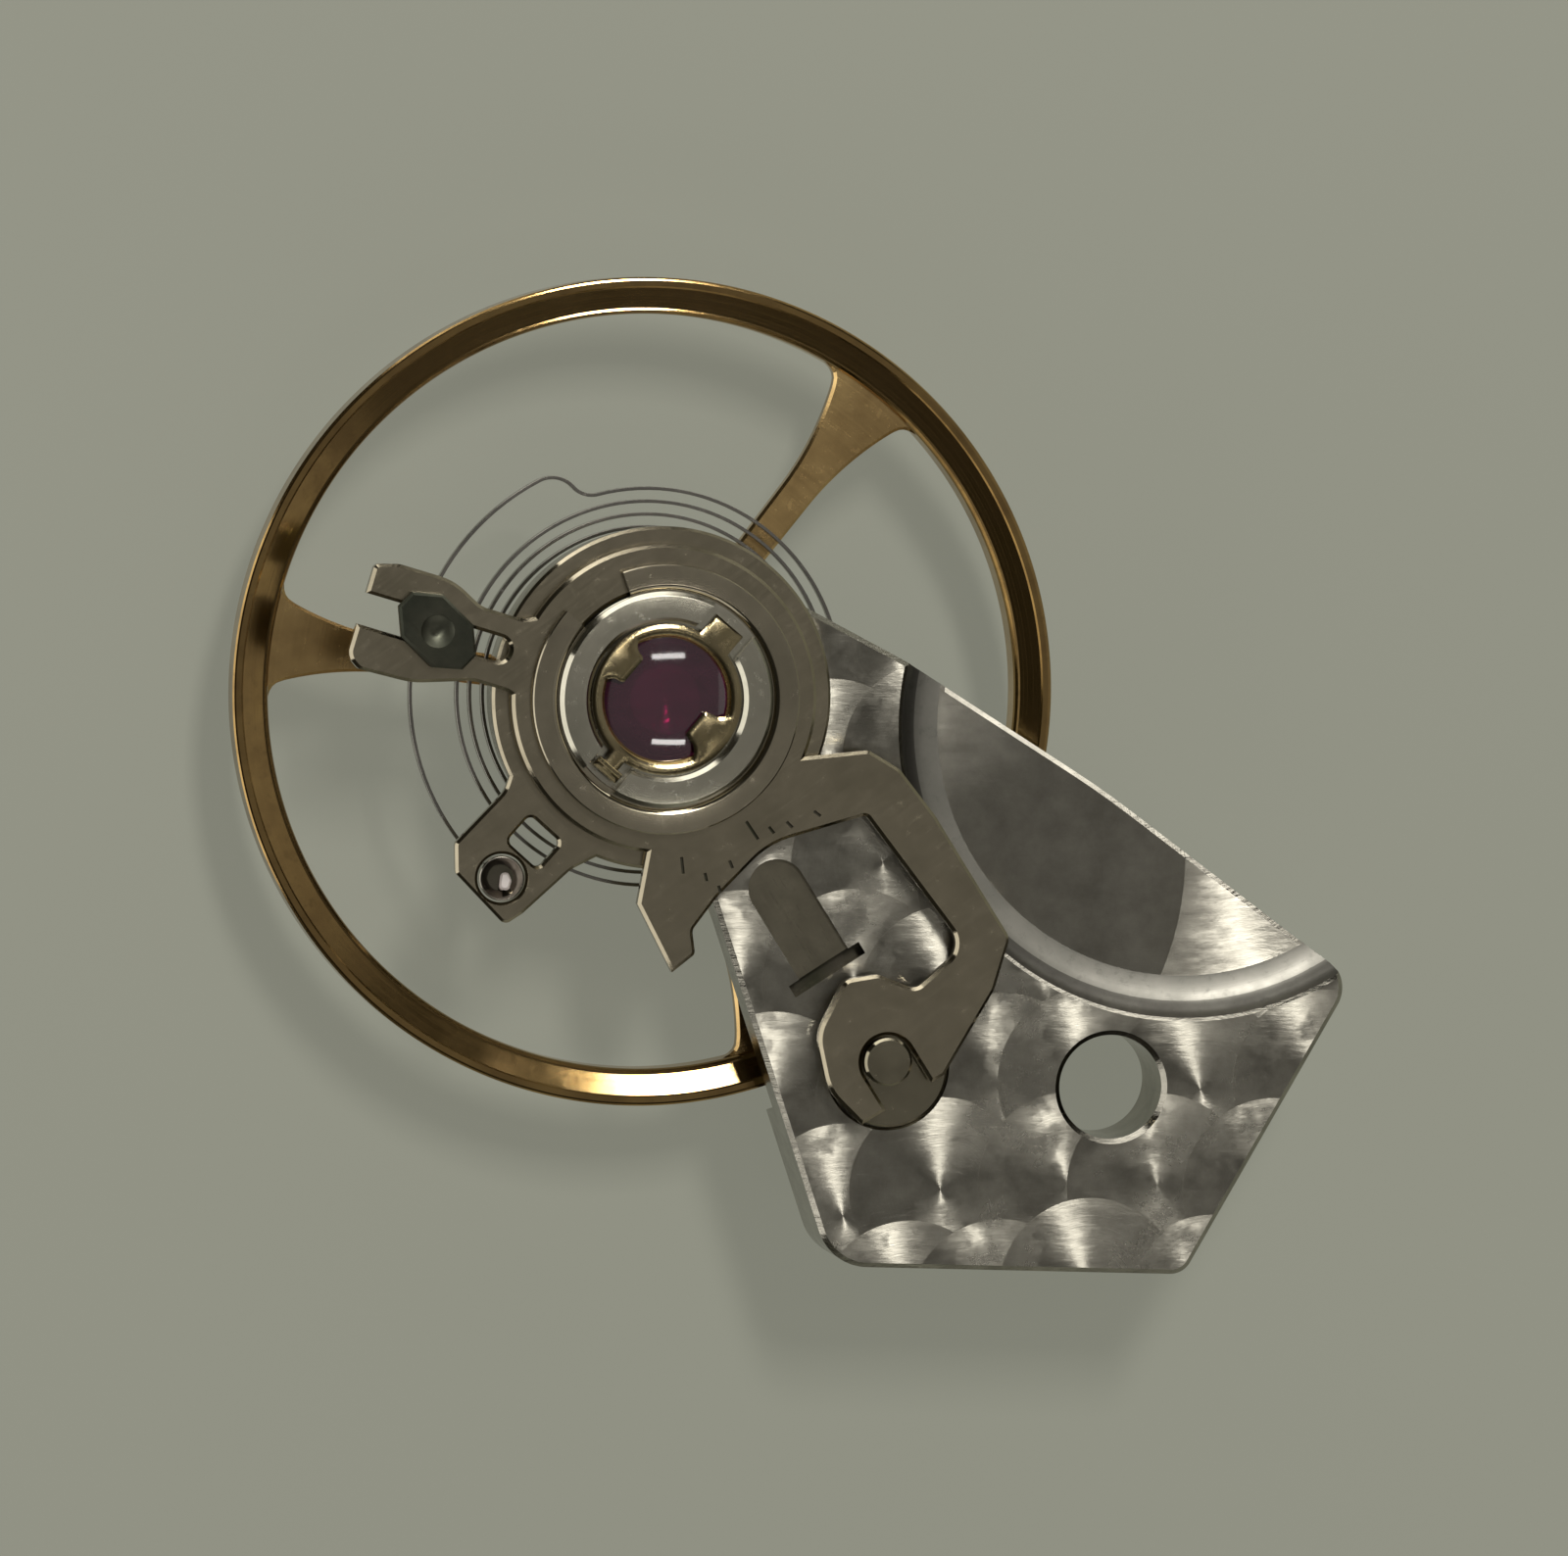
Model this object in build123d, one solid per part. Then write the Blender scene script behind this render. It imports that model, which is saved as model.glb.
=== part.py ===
from build123d import *
import math
import os

# Watch balance with its cock, in millimetres. Z runs up the balance staff and the origin is the tip
# of the lower pivot. Heights are stacked upwards from that tip. Angles are in degrees from +X.

# Balance wheel
wheel_radius = 5.0
rim_width = 0.44
rim_height = 0.5
rim_bevel = 0.08
rim_drop = 0.13
arm_count = 3
first_arm_angle = 51.5
arm_thickness = 0.2
arm_root_width = 1.24
arm_waist_width = 0.41
arm_hub_width = 0.34
arm_flare_length = 1.56
arm_sink = 0.12
hub_radius = 0.62

# Balance staff
pivot_radius = 0.05
pivot_length = 0.2
pivot_cone_length = 0.12
roller_seat_radius = 0.22
roller_shoulder = 0.03
flange_radius = 0.5
flange_height = 0.3
wheel_seat_radius = 0.32
collet_seat_radius = 0.26
collet_lift = 0.05
upper_shaft_radius = 0.16
upper_shaft_length = 0.74

# Double roller and impulse jewel
roller_table_radius = 1.05
roller_table_height = 0.22
safety_roller_radius = 0.56
safety_roller_height = 0.26
crescent_radius = 0.24
impulse_offset = 0.82
impulse_radius = 0.15
impulse_height = 0.52
impulse_angle = 143.0
impulse_flat_share = 0.55

# Collet and hairspring
collet_radius = 0.54
collet_height = 0.42
collet_slit = 0.08
spring_thickness = 0.04
spring_height = 0.12
spring_turns = 12
spring_lift_off = 0.05
spring_knee_angle = 104.0
knee_step = 0.41
knee_out_radius = 0.3
knee_back_radius = 0.35

# Curb pins, stud and their common reach from the staff
curb_reach = 2.88
curb_angle = 163.0
curb_pin_radius = 0.05
curb_pin_play = 0.03
curb_pin_overlap = 0.07
curb_block_length = 1.07
curb_block_width = 0.7
curb_block_height = 0.16
curb_block_turn = -45.0
curb_stem_radius = 0.2
curb_collar_radius = 0.28
curb_collar_height = 0.12
curb_dimple_radius = 0.14
curb_dimple_depth = 0.05
stud_angle = 227.7
stud_radius = 0.27
stud_body_radius = 0.19
stud_cap_height = 0.14

# Rings on the shock setting block
ring_gap = 0.02
running_clearance = 0.02
carrier_ring_width = 0.74
carrier_thickness = 0.15
carrier_arm_reach = 3.25
carrier_window_length = 0.42
carrier_window_width = 0.5
carrier_window_web = 0.08
regulator_ring_width = 0.53
regulator_thickness = 0.18
fork_reach = 3.8
fork_slot_width = 0.3
fork_mouth_width = 0.38
fork_slot_start = 2.1
retainer_width = 0.3
retainer_thickness = 0.12
retainer_gap_start = 109.0
retainer_gap_end = 138.5
retainer_lip_height = 0.05
retainer_lip_depth = 0.07

# Shock setting
block_radius = 1.29
block_stem_radius = 1.05
block_opening_radius = 0.93
block_web_height = 0.3
block_web_bore = 0.27
block_lip = 0.06
setting_rise = 0.31
setting_radius = 0.84
setting_foot_radius = 0.6
setting_height = 0.3
setting_wall = 0.05
hole_jewel_radius = 0.4
hole_jewel_height = 0.14
hole_jewel_bore = 0.06
oil_gap = 0.04
end_shake = 0.02
cap_jewel_radius = 0.74
cap_jewel_edge = 0.09
cap_jewel_dome = 0.08

# Lyre spring
lyre_radius = 0.9
lyre_width = 0.12
lyre_thickness = 0.05
lyre_angle = 49.0
lyre_tongue_reach = 0.46
lyre_tongue_width = 0.3
lyre_pad_reach = 1.16
lyre_pad_width = 0.42
lyre_tail_width = 0.2
lyre_tail_head_width = 0.36
lyre_tail_head_length = 0.1
lyre_barrel_radius = 0.04
lyre_seat = 0.02
front_notch_width = 0.62
hinge_notch_width = 0.46
hinge_notch_drop = 0.14

# Balance cock
cock_outset = 4.15
cock_thickness = 0.6
cock_bevel = 0.1
boss_radius = 2.0
foot_drop = 0.6
foot_gap = 0.3
recess_radius = 3.57
recess_floor_radius = 3.4
recess_depth = 0.3
recess_outset = 1.51
recess_angle = -3.5
screw_hole_radius = 0.63
screw_hole_outset = 2.3
screw_hole_angle = -40.8
screw_hole_bevel = 0.06
groove_width = 0.7
groove_depth = 0.06
groove_gap = 0.36
groove_end_gap = 0.61
cross_slot_length = 1.0
cross_slot_width = 0.16
cross_slot_depth = 0.2
steady_pin_radius = 0.35
steady_pin_length = 0.6
steady_pin_shank_radius = 0.18
steady_pin_depth = 0.45
steady_relief_width = 0.07
steady_relief_depth = 0.06
steady_pin_outsets = (3.3, 1.85)
steady_pin_angles = (-29.5, -65.5)

# Eccentric screw
eccentric_outset = 0.27
eccentric_angle = -58.3
eccentric_offset = 0.12
eccentric_head_radius = 0.71
eccentric_head_height = 0.3
eccentric_head_rise = 0.12
eccentric_pin_radius = 0.29
eccentric_pin_bevel = 0.05
eccentric_pin_rise = 0.06
eccentric_shank_radius = 0.25
eccentric_shank_length = 0.28
fork_play = 0.03

# Overrun of every cut past the faces that it goes through
overrun = 0.2

# Corners as (along, across, corner radius) shares of a reach. The cock's are in X and Y, and the
# curb pin block's are shares of its length and width.
cock_outline_shares = (
    (0.150, 0.140, 0.0),
    (0.345, 0.035, 0.9),
    (0.600, -0.130, 1.2),
    (0.932, -0.383, 0.045),
    (0.703, -0.772, 0.03),
    (0.228, -0.752, 0.07),
    (0.062, -0.240, 0.0),
    (-0.060, -0.100, 0.0),
)
fork_outline_shares = (
    (0.330, -0.200, 0.0),
    (0.500, -0.112, 0.08),
    (0.640, -0.112, 0.10),
    (0.745, -0.166, 0.20),
    (0.925, -0.166, 0.04),
    (1.000, -0.145, 0.02),
    (1.000, 0.155, 0.05),
    (0.955, 0.185, 0.04),
    (0.780, 0.178, 0.25),
    (0.600, 0.118, 0.12),
    (0.480, 0.118, 0.08),
    (0.330, 0.200, 0.0),
)
carrier_arm_shares = (
    (0.520, -0.260, 0.0),
    (0.640, -0.205, 0.12),
    (0.905, -0.215, 0.03),
    (0.985, -0.140, 0.03),
    (1.006, 0.125, 0.03),
    (0.930, 0.146, 0.02),
    (0.690, 0.172, 0.1),
    (0.520, 0.240, 0.0),
)
tail_outline_shares = (
    (0.240, -0.185, 0.0),
    (0.362, -0.297, 0.008),
    (0.537, -0.312, 0.008),
    (0.530, -0.245, 0.015),
    (0.480, -0.222, 0.022),
    (0.447, -0.135, 0.03),
    (0.408, 0.030, 0.2),
    (0.473, 0.253, 0.012),
    (0.850, 0.288, 0.055),
    (0.872, 0.142, 0.028),
    (0.796, 0.086, 0.03),
    (0.766, 0.015, 0.03),
    (0.836, -0.105, 0.09),
    (0.960, -0.150, 0.12),
    (1.068, -0.125, 0.004),
    (1.074, 0.095, 0.006),
    (0.972, 0.294, 0.05),
    (0.890, 0.388, 0.03),
    (0.560, 0.388, 0.1),
    (0.425, 0.374, 0.05),
    (0.350, 0.336, 0.02),
    (0.270, 0.175, 0.0),
)
tail_mouth_share = 0.2
curb_block_shares = (
    (0.50, -0.167),
    (0.24, -0.50),
    (-0.24, -0.50),
    (-0.50, -0.167),
    (-0.50, 0.167),
    (-0.24, 0.50),
    (0.24, 0.50),
    (0.50, 0.167),
)

# Heights above the lower pivot tip
roller_underside = pivot_length + pivot_cone_length + roller_shoulder
table_underside = roller_underside + safety_roller_height
flange_underside = table_underside + roller_table_height
arm_underside = flange_underside + flange_height
arm_top = arm_underside + arm_thickness
collet_underside = arm_top + collet_lift
collet_top = collet_underside + collet_height
spring_underside = collet_underside + (collet_height - spring_height) / 2
spring_top = spring_underside + spring_height
upper_cone_height = collet_top + upper_shaft_length
upper_pivot_height = upper_cone_height + pivot_cone_length
staff_top = upper_pivot_height + pivot_length
rim_underside = arm_underside - rim_drop
cock_top = staff_top - setting_rise
cock_underside = cock_top - cock_thickness
foot_seat = cock_underside - foot_drop
carrier_underside = cock_top + ring_gap
carrier_top = carrier_underside + carrier_thickness
regulator_underside = carrier_top + ring_gap
regulator_top = regulator_underside + regulator_thickness
retainer_underside = regulator_top + ring_gap
retainer_top = retainer_underside + retainer_thickness
block_top = retainer_top + block_lip
cap_underside = staff_top + end_shake
cap_edge_top = cap_underside + cap_jewel_edge
lyre_underside = cap_edge_top + cap_jewel_dome / 2 + lyre_seat
pin_underside = spring_underside - curb_pin_overlap

# Radii and reaches that follow a neighbour
ring_bore = block_radius + running_clearance
carrier_radius = ring_bore + carrier_ring_width
regulator_radius = ring_bore + regulator_ring_width
retainer_radius = ring_bore + retainer_width
cock_length = wheel_radius + cock_outset
recess_reach = wheel_radius + recess_outset
screw_hole_reach = wheel_radius + screw_hole_outset
steady_pin_reaches = [wheel_radius + outset for outset in steady_pin_outsets]
eccentric_reach = wheel_radius + eccentric_outset
lyre_hinge_reach = lyre_pad_reach - lyre_tail_head_length
spring_start_radius = collet_radius + spring_thickness / 2 + spring_lift_off
spring_end_radius = curb_reach - knee_step
spring_pitch = (spring_end_radius - spring_start_radius) / spring_turns
curb_pin_offset = spring_thickness / 2 + curb_pin_play + curb_pin_radius
pin_slot_width = 2 * (eccentric_pin_radius + fork_play)
pin_reach = eccentric_reach - eccentric_offset


def turned(*corners):
    """Solid of revolution round Z through (radius, height) corners."""
    outline = Polyline(*[(radius, 0, height) for radius, height in corners], close=True)
    return revolve(make_face(outline), Axis.Z)


def disc(radius, bottom, top):
    """Upright cylinder on Z between two heights."""
    return Pos(0, 0, bottom) * extrude(Circle(radius), top - bottom)


def block(length, width, bottom, top):
    """Upright bar centred on Z between two heights."""
    return Pos(0, 0, bottom) * extrude(Rectangle(length, width), top - bottom)


def outlined(shares, reach):
    """Flat face through rounded corners given as shares of one reach."""
    points = [(along * reach, across * reach) for along, across, _ in shares]
    radii = [radius * reach for _, _, radius in shares]
    return make_face(FilletPolyline(*points, radius=radii, close=True))


def plate(face, bottom, top):
    """Flat piece of one face between two heights."""
    return Pos(0, 0, bottom) * extrude(face, top - bottom)


def polar(reach, angle):
    """Place at a reach and an angle from the staff."""
    turn = math.radians(angle)
    return Pos(reach * math.cos(turn), reach * math.sin(turn), 0)


def balance_wheel():
    """Rim, three flared arms and the riveted hub, one piece."""
    inner = wheel_radius - rim_width
    top = rim_underside + rim_height
    rim = turned(
        (inner, rim_underside),
        (wheel_radius - rim_bevel, rim_underside),
        (wheel_radius, rim_underside + rim_bevel),
        (wheel_radius, top - rim_bevel),
        (wheel_radius - rim_bevel, top),
        (inner + rim_bevel, top),
        (inner, top - rim_bevel),
    )
    wheel = rim + disc(hub_radius, arm_underside, arm_top)
    for index in range(arm_count):
        wheel += Rot(0, 0, first_arm_angle + index * 360 / arm_count) * wheel_arm()
    return wheel - disc(wheel_seat_radius, arm_underside - overrun, arm_top + overrun)


def wheel_arm():
    """Arm along +X, straight to its waist, whose sides then curve outwards to the rim."""
    start = hub_radius - arm_sink
    waist = wheel_radius - rim_width - arm_flare_length
    end = wheel_radius - rim_width + arm_sink
    side = Line((start, arm_hub_width / 2), (waist, arm_waist_width / 2))
    side += TangentArc((waist, arm_waist_width / 2), (end, arm_root_width / 2), tangent=side % 1)
    other = mirror(side, Plane.XZ)
    ends = Line((end, arm_root_width / 2), (end, -arm_root_width / 2))
    ends += Line((start, -arm_hub_width / 2), (start, arm_hub_width / 2))
    return plate(make_face(side + other + ends), arm_underside, arm_top)


def balance_staff():
    """Turned axle with two pivots, roller seat, flange, wheel seat and collet seat."""
    return turned(
        (0, 0),
        (pivot_radius, 0),
        (pivot_radius, pivot_length),
        (roller_seat_radius, pivot_length + pivot_cone_length),
        (roller_seat_radius, flange_underside),
        (flange_radius, flange_underside),
        (flange_radius, arm_underside),
        (wheel_seat_radius, arm_underside),
        (wheel_seat_radius, arm_top),
        (collet_seat_radius, arm_top + collet_lift),
        (collet_seat_radius, collet_top),
        (upper_shaft_radius, collet_top),
        (upper_shaft_radius, upper_cone_height),
        (pivot_radius, upper_pivot_height),
        (pivot_radius, staff_top),
        (0, staff_top),
    )


def double_roller():
    """Impulse table over the smaller safety roller with its crescent."""
    roller = disc(safety_roller_radius, roller_underside, table_underside)
    crescent = disc(crescent_radius, roller_underside - overrun, table_underside)
    roller -= polar(safety_roller_radius + crescent_radius / 2, impulse_angle) * crescent
    roller += disc(roller_table_radius, table_underside, flange_underside)
    roller -= disc(roller_seat_radius, roller_underside - overrun, flange_underside + overrun)
    seat = impulse_section(table_underside - overrun, flange_underside + overrun)
    return roller - seat


def impulse_section(bottom, top):
    """D-shaped prism at the impulse jewel's place, its flat outwards."""
    pin = disc(impulse_radius, bottom, top)
    cut = Pos(impulse_radius * (1 + impulse_flat_share), 0, 0)
    pin -= cut * block(2 * impulse_radius, 2 * impulse_radius, bottom - overrun, top + overrun)
    turn = math.radians(impulse_angle)
    place = Pos(impulse_offset * math.cos(turn), impulse_offset * math.sin(turn), 0)
    return place * Rot(0, 0, impulse_angle) * pin


def impulse_jewel():
    """Ruby pin that hangs under the impulse table."""
    return impulse_section(flange_underside - impulse_height, flange_underside)


def collet():
    """Split collar on the staff that holds the inner end of the hairspring."""
    ring = disc(collet_radius, collet_underside, collet_top)
    ring -= disc(collet_seat_radius, collet_underside - overrun, collet_top + overrun)
    slit_length = collet_radius + overrun
    slit = block(slit_length, collet_slit, collet_underside - overrun, collet_top + overrun)
    return ring - Rot(0, 0, stud_angle) * Pos(slit_length / 2, 0, 0) * slit


def spring_arcs():
    """Arcs of the strip's middle line, as (centre X, centre Y, radius, start, sweep)."""
    start = spring_start_radius
    root = collet_radius + spring_thickness / 2
    shift = (start - math.sqrt(2 * root**2 - start**2)) / 2
    knee = math.radians(spring_knee_angle)
    toward = (math.cos(knee), math.sin(knee))
    arcs = [(shift * toward[0], shift * toward[1], start - shift, spring_knee_angle - 90, 90)]
    for half in range(2 * spring_turns):
        offset = spring_pitch / 2 * (half % 2)
        centre = (offset * toward[0], offset * toward[1])
        arcs.append((*centre, start + half * spring_pitch / 2, spring_knee_angle + 180 * half, 180))
    out_reach = spring_end_radius + knee_out_radius
    back_reach = curb_reach - knee_back_radius
    span = knee_out_radius + knee_back_radius
    opening = math.acos((out_reach**2 + back_reach**2 - span**2) / (2 * out_reach * back_reach))
    out_centre = (out_reach * toward[0], out_reach * toward[1])
    end = knee + opening
    back_centre = (back_reach * math.cos(end), back_reach * math.sin(end))
    across = (back_centre[0] - out_centre[0], back_centre[1] - out_centre[1])
    join = math.degrees(math.atan2(across[1], across[0]))
    bend = (spring_knee_angle + 180 - join) % 360
    arcs.append((*out_centre, knee_out_radius, spring_knee_angle + 180, -bend))
    end_angle = math.degrees(end)
    back_start = math.degrees(math.atan2(-across[1], -across[0]))
    arcs.append((*back_centre, knee_back_radius, back_start, (end_angle - back_start) % 360))
    arcs.append((0, 0, curb_reach, end_angle, stud_angle - end_angle))
    return arcs


def strip_edge(arcs, offset):
    """One long edge of the strip, at an offset to the side away from the staff."""
    edges = []
    for centre_x, centre_y, radius, start, sweep in arcs:
        side = offset if sweep > 0 else -offset
        edges.append(CenterArc((centre_x, centre_y), radius + side, start, sweep))
    return edges


def arc_point(arc, offset, share):
    """Point of one arc at a share of its sweep."""
    centre_x, centre_y, radius, start, sweep = arc
    side = radius + (offset if sweep > 0 else -offset)
    turn = math.radians(start + sweep * share)
    return (centre_x + side * math.cos(turn), centre_y + side * math.sin(turn))


def hairspring():
    """Flat strip wound from the collet, past the curb pins, into the stud."""
    arcs = spring_arcs()
    half = spring_thickness / 2
    edges = strip_edge(arcs, half) + strip_edge(arcs, -half)
    edges.append(Line(arc_point(arcs[0], half, 0), arc_point(arcs[0], -half, 0)))
    edges.append(Line(arc_point(arcs[-1], half, 1), arc_point(arcs[-1], -half, 1)))
    print_spring_gap(arcs)
    return plate(make_face(edges), spring_underside, spring_top)


def print_spring_gap(arcs):
    """Least clear gap between one turn of the strip and the next, on points."""
    steps = 24
    points = [arc_point(arc, 0, step / steps) for arc in arcs for step in range(steps)]
    least = min(
        math.dist(points[first], points[second])
        for first in range(len(points))
        for second in range(first + steps, len(points))
    )
    print("hairspring least gap to itself", round(least - spring_thickness, 3), "mm")


def stud_carrier():
    """Ring round the block with the arm that grips the stud."""
    face = Circle(carrier_radius) + Rot(0, 0, stud_angle) * carrier_arm_face()
    face -= Circle(ring_bore)
    return plate(face, carrier_underside, carrier_top)


def carrier_arm_face():
    """Arm along +X with its window and its stud hole."""
    window_end = curb_reach - stud_radius - running_clearance - carrier_window_web
    window = Rectangle(carrier_window_length, carrier_window_width)
    window = fillet(window.vertices(), carrier_window_web)
    face = outlined(carrier_arm_shares, carrier_arm_reach)
    face -= Pos(window_end - carrier_window_length / 2, 0) * window
    return face - Pos(curb_reach, 0) * Circle(stud_radius + running_clearance)


def hairspring_stud():
    """Stepped stud whose slotted foot holds the end of the strip."""
    cap_underside_height = carrier_top - stud_cap_height
    stud = turned(
        (0, pin_underside),
        (stud_body_radius, pin_underside),
        (stud_body_radius, cap_underside_height),
        (stud_radius, cap_underside_height),
        (stud_radius, carrier_top + ring_gap / 2),
        (0, carrier_top + ring_gap / 2),
    )
    slot = block(
        spring_thickness + ring_gap,
        2 * stud_radius + overrun,
        pin_underside - overrun,
        spring_top + ring_gap,
    )
    return polar(curb_reach, stud_angle) * (stud - Rot(0, 0, stud_angle) * slot)


def regulator_index():
    """Ring, two-pronged arm for the curb pin block and forked tail, one flat piece."""
    face = Circle(regulator_radius)
    face += Rot(0, 0, curb_angle) * fork_face()
    face += Rot(0, 0, eccentric_angle) * tail_face()
    face -= Circle(ring_bore)
    return plate(face, regulator_underside, regulator_top)


def fork_face():
    """Two-pronged arm along +X with a seat for the block's stem."""
    face = outlined(fork_outline_shares, fork_reach)
    narrow_length = curb_reach - fork_slot_start
    face -= Pos(fork_slot_start + narrow_length / 2, 0) * Rectangle(narrow_length, fork_slot_width)
    face -= Pos(fork_slot_start, 0) * Circle(fork_slot_width / 2)
    mouth_length = fork_reach - curb_reach + overrun
    face -= Pos(curb_reach + mouth_length / 2, 0) * Rectangle(mouth_length, fork_mouth_width)
    return face - Pos(curb_reach, 0) * Circle(curb_stem_radius + running_clearance)


def tail_face():
    """Forked tail along +X that straddles the eccentric pin."""
    face = outlined(tail_outline_shares, eccentric_reach)
    mouth_length = eccentric_reach * tail_mouth_share
    face -= Pos(pin_reach + mouth_length / 2, 0) * Rectangle(mouth_length, pin_slot_width)
    return face - Pos(pin_reach, 0) * Circle(pin_slot_width / 2)


def curb_pin_block():
    """Eight-sided head, stem in the arm's seat and collar under the arm."""
    corners = [(along * curb_block_length, across * curb_block_width)
               for along, across in curb_block_shares]
    head_underside = regulator_top + ring_gap
    head_top = head_underside + curb_block_height
    collar_top = regulator_underside - ring_gap
    collar_underside = collar_top - curb_collar_height
    piece = plate(make_face(Polyline(*corners, close=True)), head_underside, head_top)
    piece -= disc(curb_dimple_radius, head_top - curb_dimple_depth, head_top + overrun)
    piece += disc(curb_stem_radius, collar_top, head_underside)
    piece += disc(curb_collar_radius, collar_underside, collar_top)
    piece -= curb_pin_pair(collar_underside - overrun, collar_top)
    return polar(curb_reach, curb_angle) * Rot(0, 0, curb_block_turn) * piece


def curb_pin_pair(bottom, top):
    """Two pins beside the strip, in the turned frame of their block."""
    side = Rot(0, 0, curb_angle - curb_block_turn)
    pair = side * Pos(curb_pin_offset, 0, 0) * disc(curb_pin_radius, bottom, top)
    return pair + side * Pos(-curb_pin_offset, 0, 0) * disc(curb_pin_radius, bottom, top)


def curb_pins():
    """Two thin pins set in the block, one on each side of the hairspring."""
    top = regulator_underside - ring_gap
    pair = curb_pin_pair(pin_underside, top)
    return polar(curb_reach, curb_angle) * Rot(0, 0, curb_block_turn) * pair


def retaining_ring():
    """Open ring whose lip snaps into the groove of the block."""
    lip = ring_bore - retainer_lip_depth
    ring = turned(
        (lip, retainer_underside),
        (retainer_radius, retainer_underside),
        (retainer_radius, retainer_top),
        (ring_bore, retainer_top),
        (ring_bore, retainer_underside + retainer_lip_height),
        (lip, retainer_underside + retainer_lip_height),
    )
    corners = [(0, 0)]
    for angle in (retainer_gap_start, retainer_gap_end):
        turn = math.radians(angle)
        corners.append((2 * retainer_radius * math.cos(turn), 2 * retainer_radius * math.sin(turn)))
    opening = make_face(Polyline(*corners, close=True))
    return ring - plate(opening, retainer_underside - overrun, retainer_top + overrun)


def setting_corners(clearance):
    """Outer profile of the jewel setting, grown by a clearance."""
    shoulder = cap_underside
    return (
        (setting_foot_radius + clearance, shoulder - setting_height),
        (setting_radius - setting_wall + clearance, shoulder),
        (setting_radius + clearance, shoulder),
        (setting_radius + clearance, shoulder + setting_wall),
    )


def shock_block():
    """Collar and stem with a conical seat, a groove for the ring and two notches."""
    groove = ring_bore - retainer_lip_depth - running_clearance
    groove_underside = retainer_underside - ring_gap / 2
    groove_top = retainer_underside + retainer_lip_height + ring_gap / 2
    web_top = cock_underside + block_web_height
    foot, cone, shoulder, lip = setting_corners(ring_gap / 2)
    piece = turned(
        (block_web_bore, cock_underside),
        (block_stem_radius, cock_underside),
        (block_stem_radius, cock_top),
        (block_radius, cock_top),
        (block_radius, groove_underside),
        (groove, groove_underside),
        (groove, groove_top),
        (block_radius, groove_top),
        (block_radius, block_top),
        (block_opening_radius, block_top),
        (block_opening_radius, lip[1]),
        lip,
        (shoulder[0], cap_underside),
        (cone[0], cap_underside),
        foot,
        (setting_foot_radius, web_top),
        (block_web_bore, web_top),
    )
    front = notch(front_notch_width, lyre_underside - ring_gap)
    back = notch(hinge_notch_width, lyre_underside - hinge_notch_drop)
    piece -= Rot(0, 0, lyre_angle) * front
    return piece - Rot(0, 0, lyre_angle + 180) * back


def notch(width, floor):
    """Cut through the block's upper wall on the +X side."""
    start = block_opening_radius - overrun
    length = block_radius + overrun - start
    return Pos(start + length / 2, 0, 0) * block(length, width, floor, block_top + overrun)


def jewel_setting():
    """Conical seat that carries the hole jewel and the cap jewel."""
    foot, cone, shoulder, lip = setting_corners(0)
    jewel_top = cap_underside - oil_gap
    jewel_underside = jewel_top - hole_jewel_height
    return turned(
        (hole_jewel_radius - setting_wall, foot[1]),
        foot,
        cone,
        shoulder,
        lip,
        (cap_jewel_radius + ring_gap / 2, lip[1]),
        (cap_jewel_radius + ring_gap / 2, cap_underside),
        (hole_jewel_radius, cap_underside),
        (hole_jewel_radius, jewel_underside),
        (hole_jewel_radius - setting_wall, jewel_underside),
    )


def hole_jewel():
    """Pierced ruby disc round the upper pivot."""
    top = cap_underside - oil_gap
    jewel = disc(hole_jewel_radius, top - hole_jewel_height, top)
    return jewel - disc(hole_jewel_bore, top - hole_jewel_height - overrun, top + overrun)


def cap_jewel():
    """Domed ruby disc over the end of the upper pivot."""
    rise = cap_jewel_dome
    dome_radius = (cap_jewel_radius**2 + rise**2) / (2 * rise)
    centre_height = cap_edge_top + rise - dome_radius
    body = disc(cap_jewel_radius, cap_underside, cap_edge_top + rise)
    return body & Pos(0, 0, centre_height) * Sphere(dome_radius)


def lyre_spring():
    """Flat ring with two inner tongues, a front pad and a tail rolled into a hinge barrel."""
    inner = lyre_radius - lyre_width
    pad_start = inner + lyre_width / 2
    face = Circle(lyre_radius) - Circle(inner)
    tongue_length = pad_start - lyre_tongue_reach
    for side in (-1, 1):
        tongue = Rectangle(lyre_tongue_width, tongue_length)
        face += Pos(0, side * (lyre_tongue_reach + tongue_length / 2)) * tongue
    pad_length = lyre_pad_reach - pad_start
    face += Pos(pad_start + pad_length / 2, 0) * Rectangle(pad_length, lyre_pad_width)
    face += Pos(-pad_start - pad_length / 2, 0) * Rectangle(pad_length, lyre_tail_width)
    head = Rectangle(lyre_tail_head_length, lyre_tail_head_width)
    face += Pos(-lyre_pad_reach + lyre_tail_head_length / 2, 0) * head
    spring = plate(face, lyre_underside, lyre_underside + lyre_thickness)
    barrel = Rot(90, 0, 0) * Cylinder(lyre_barrel_radius, lyre_tail_head_width)
    spring += Pos(-lyre_hinge_reach, 0, lyre_underside + lyre_thickness / 2) * barrel
    return Rot(0, 0, lyre_angle) * spring


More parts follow.
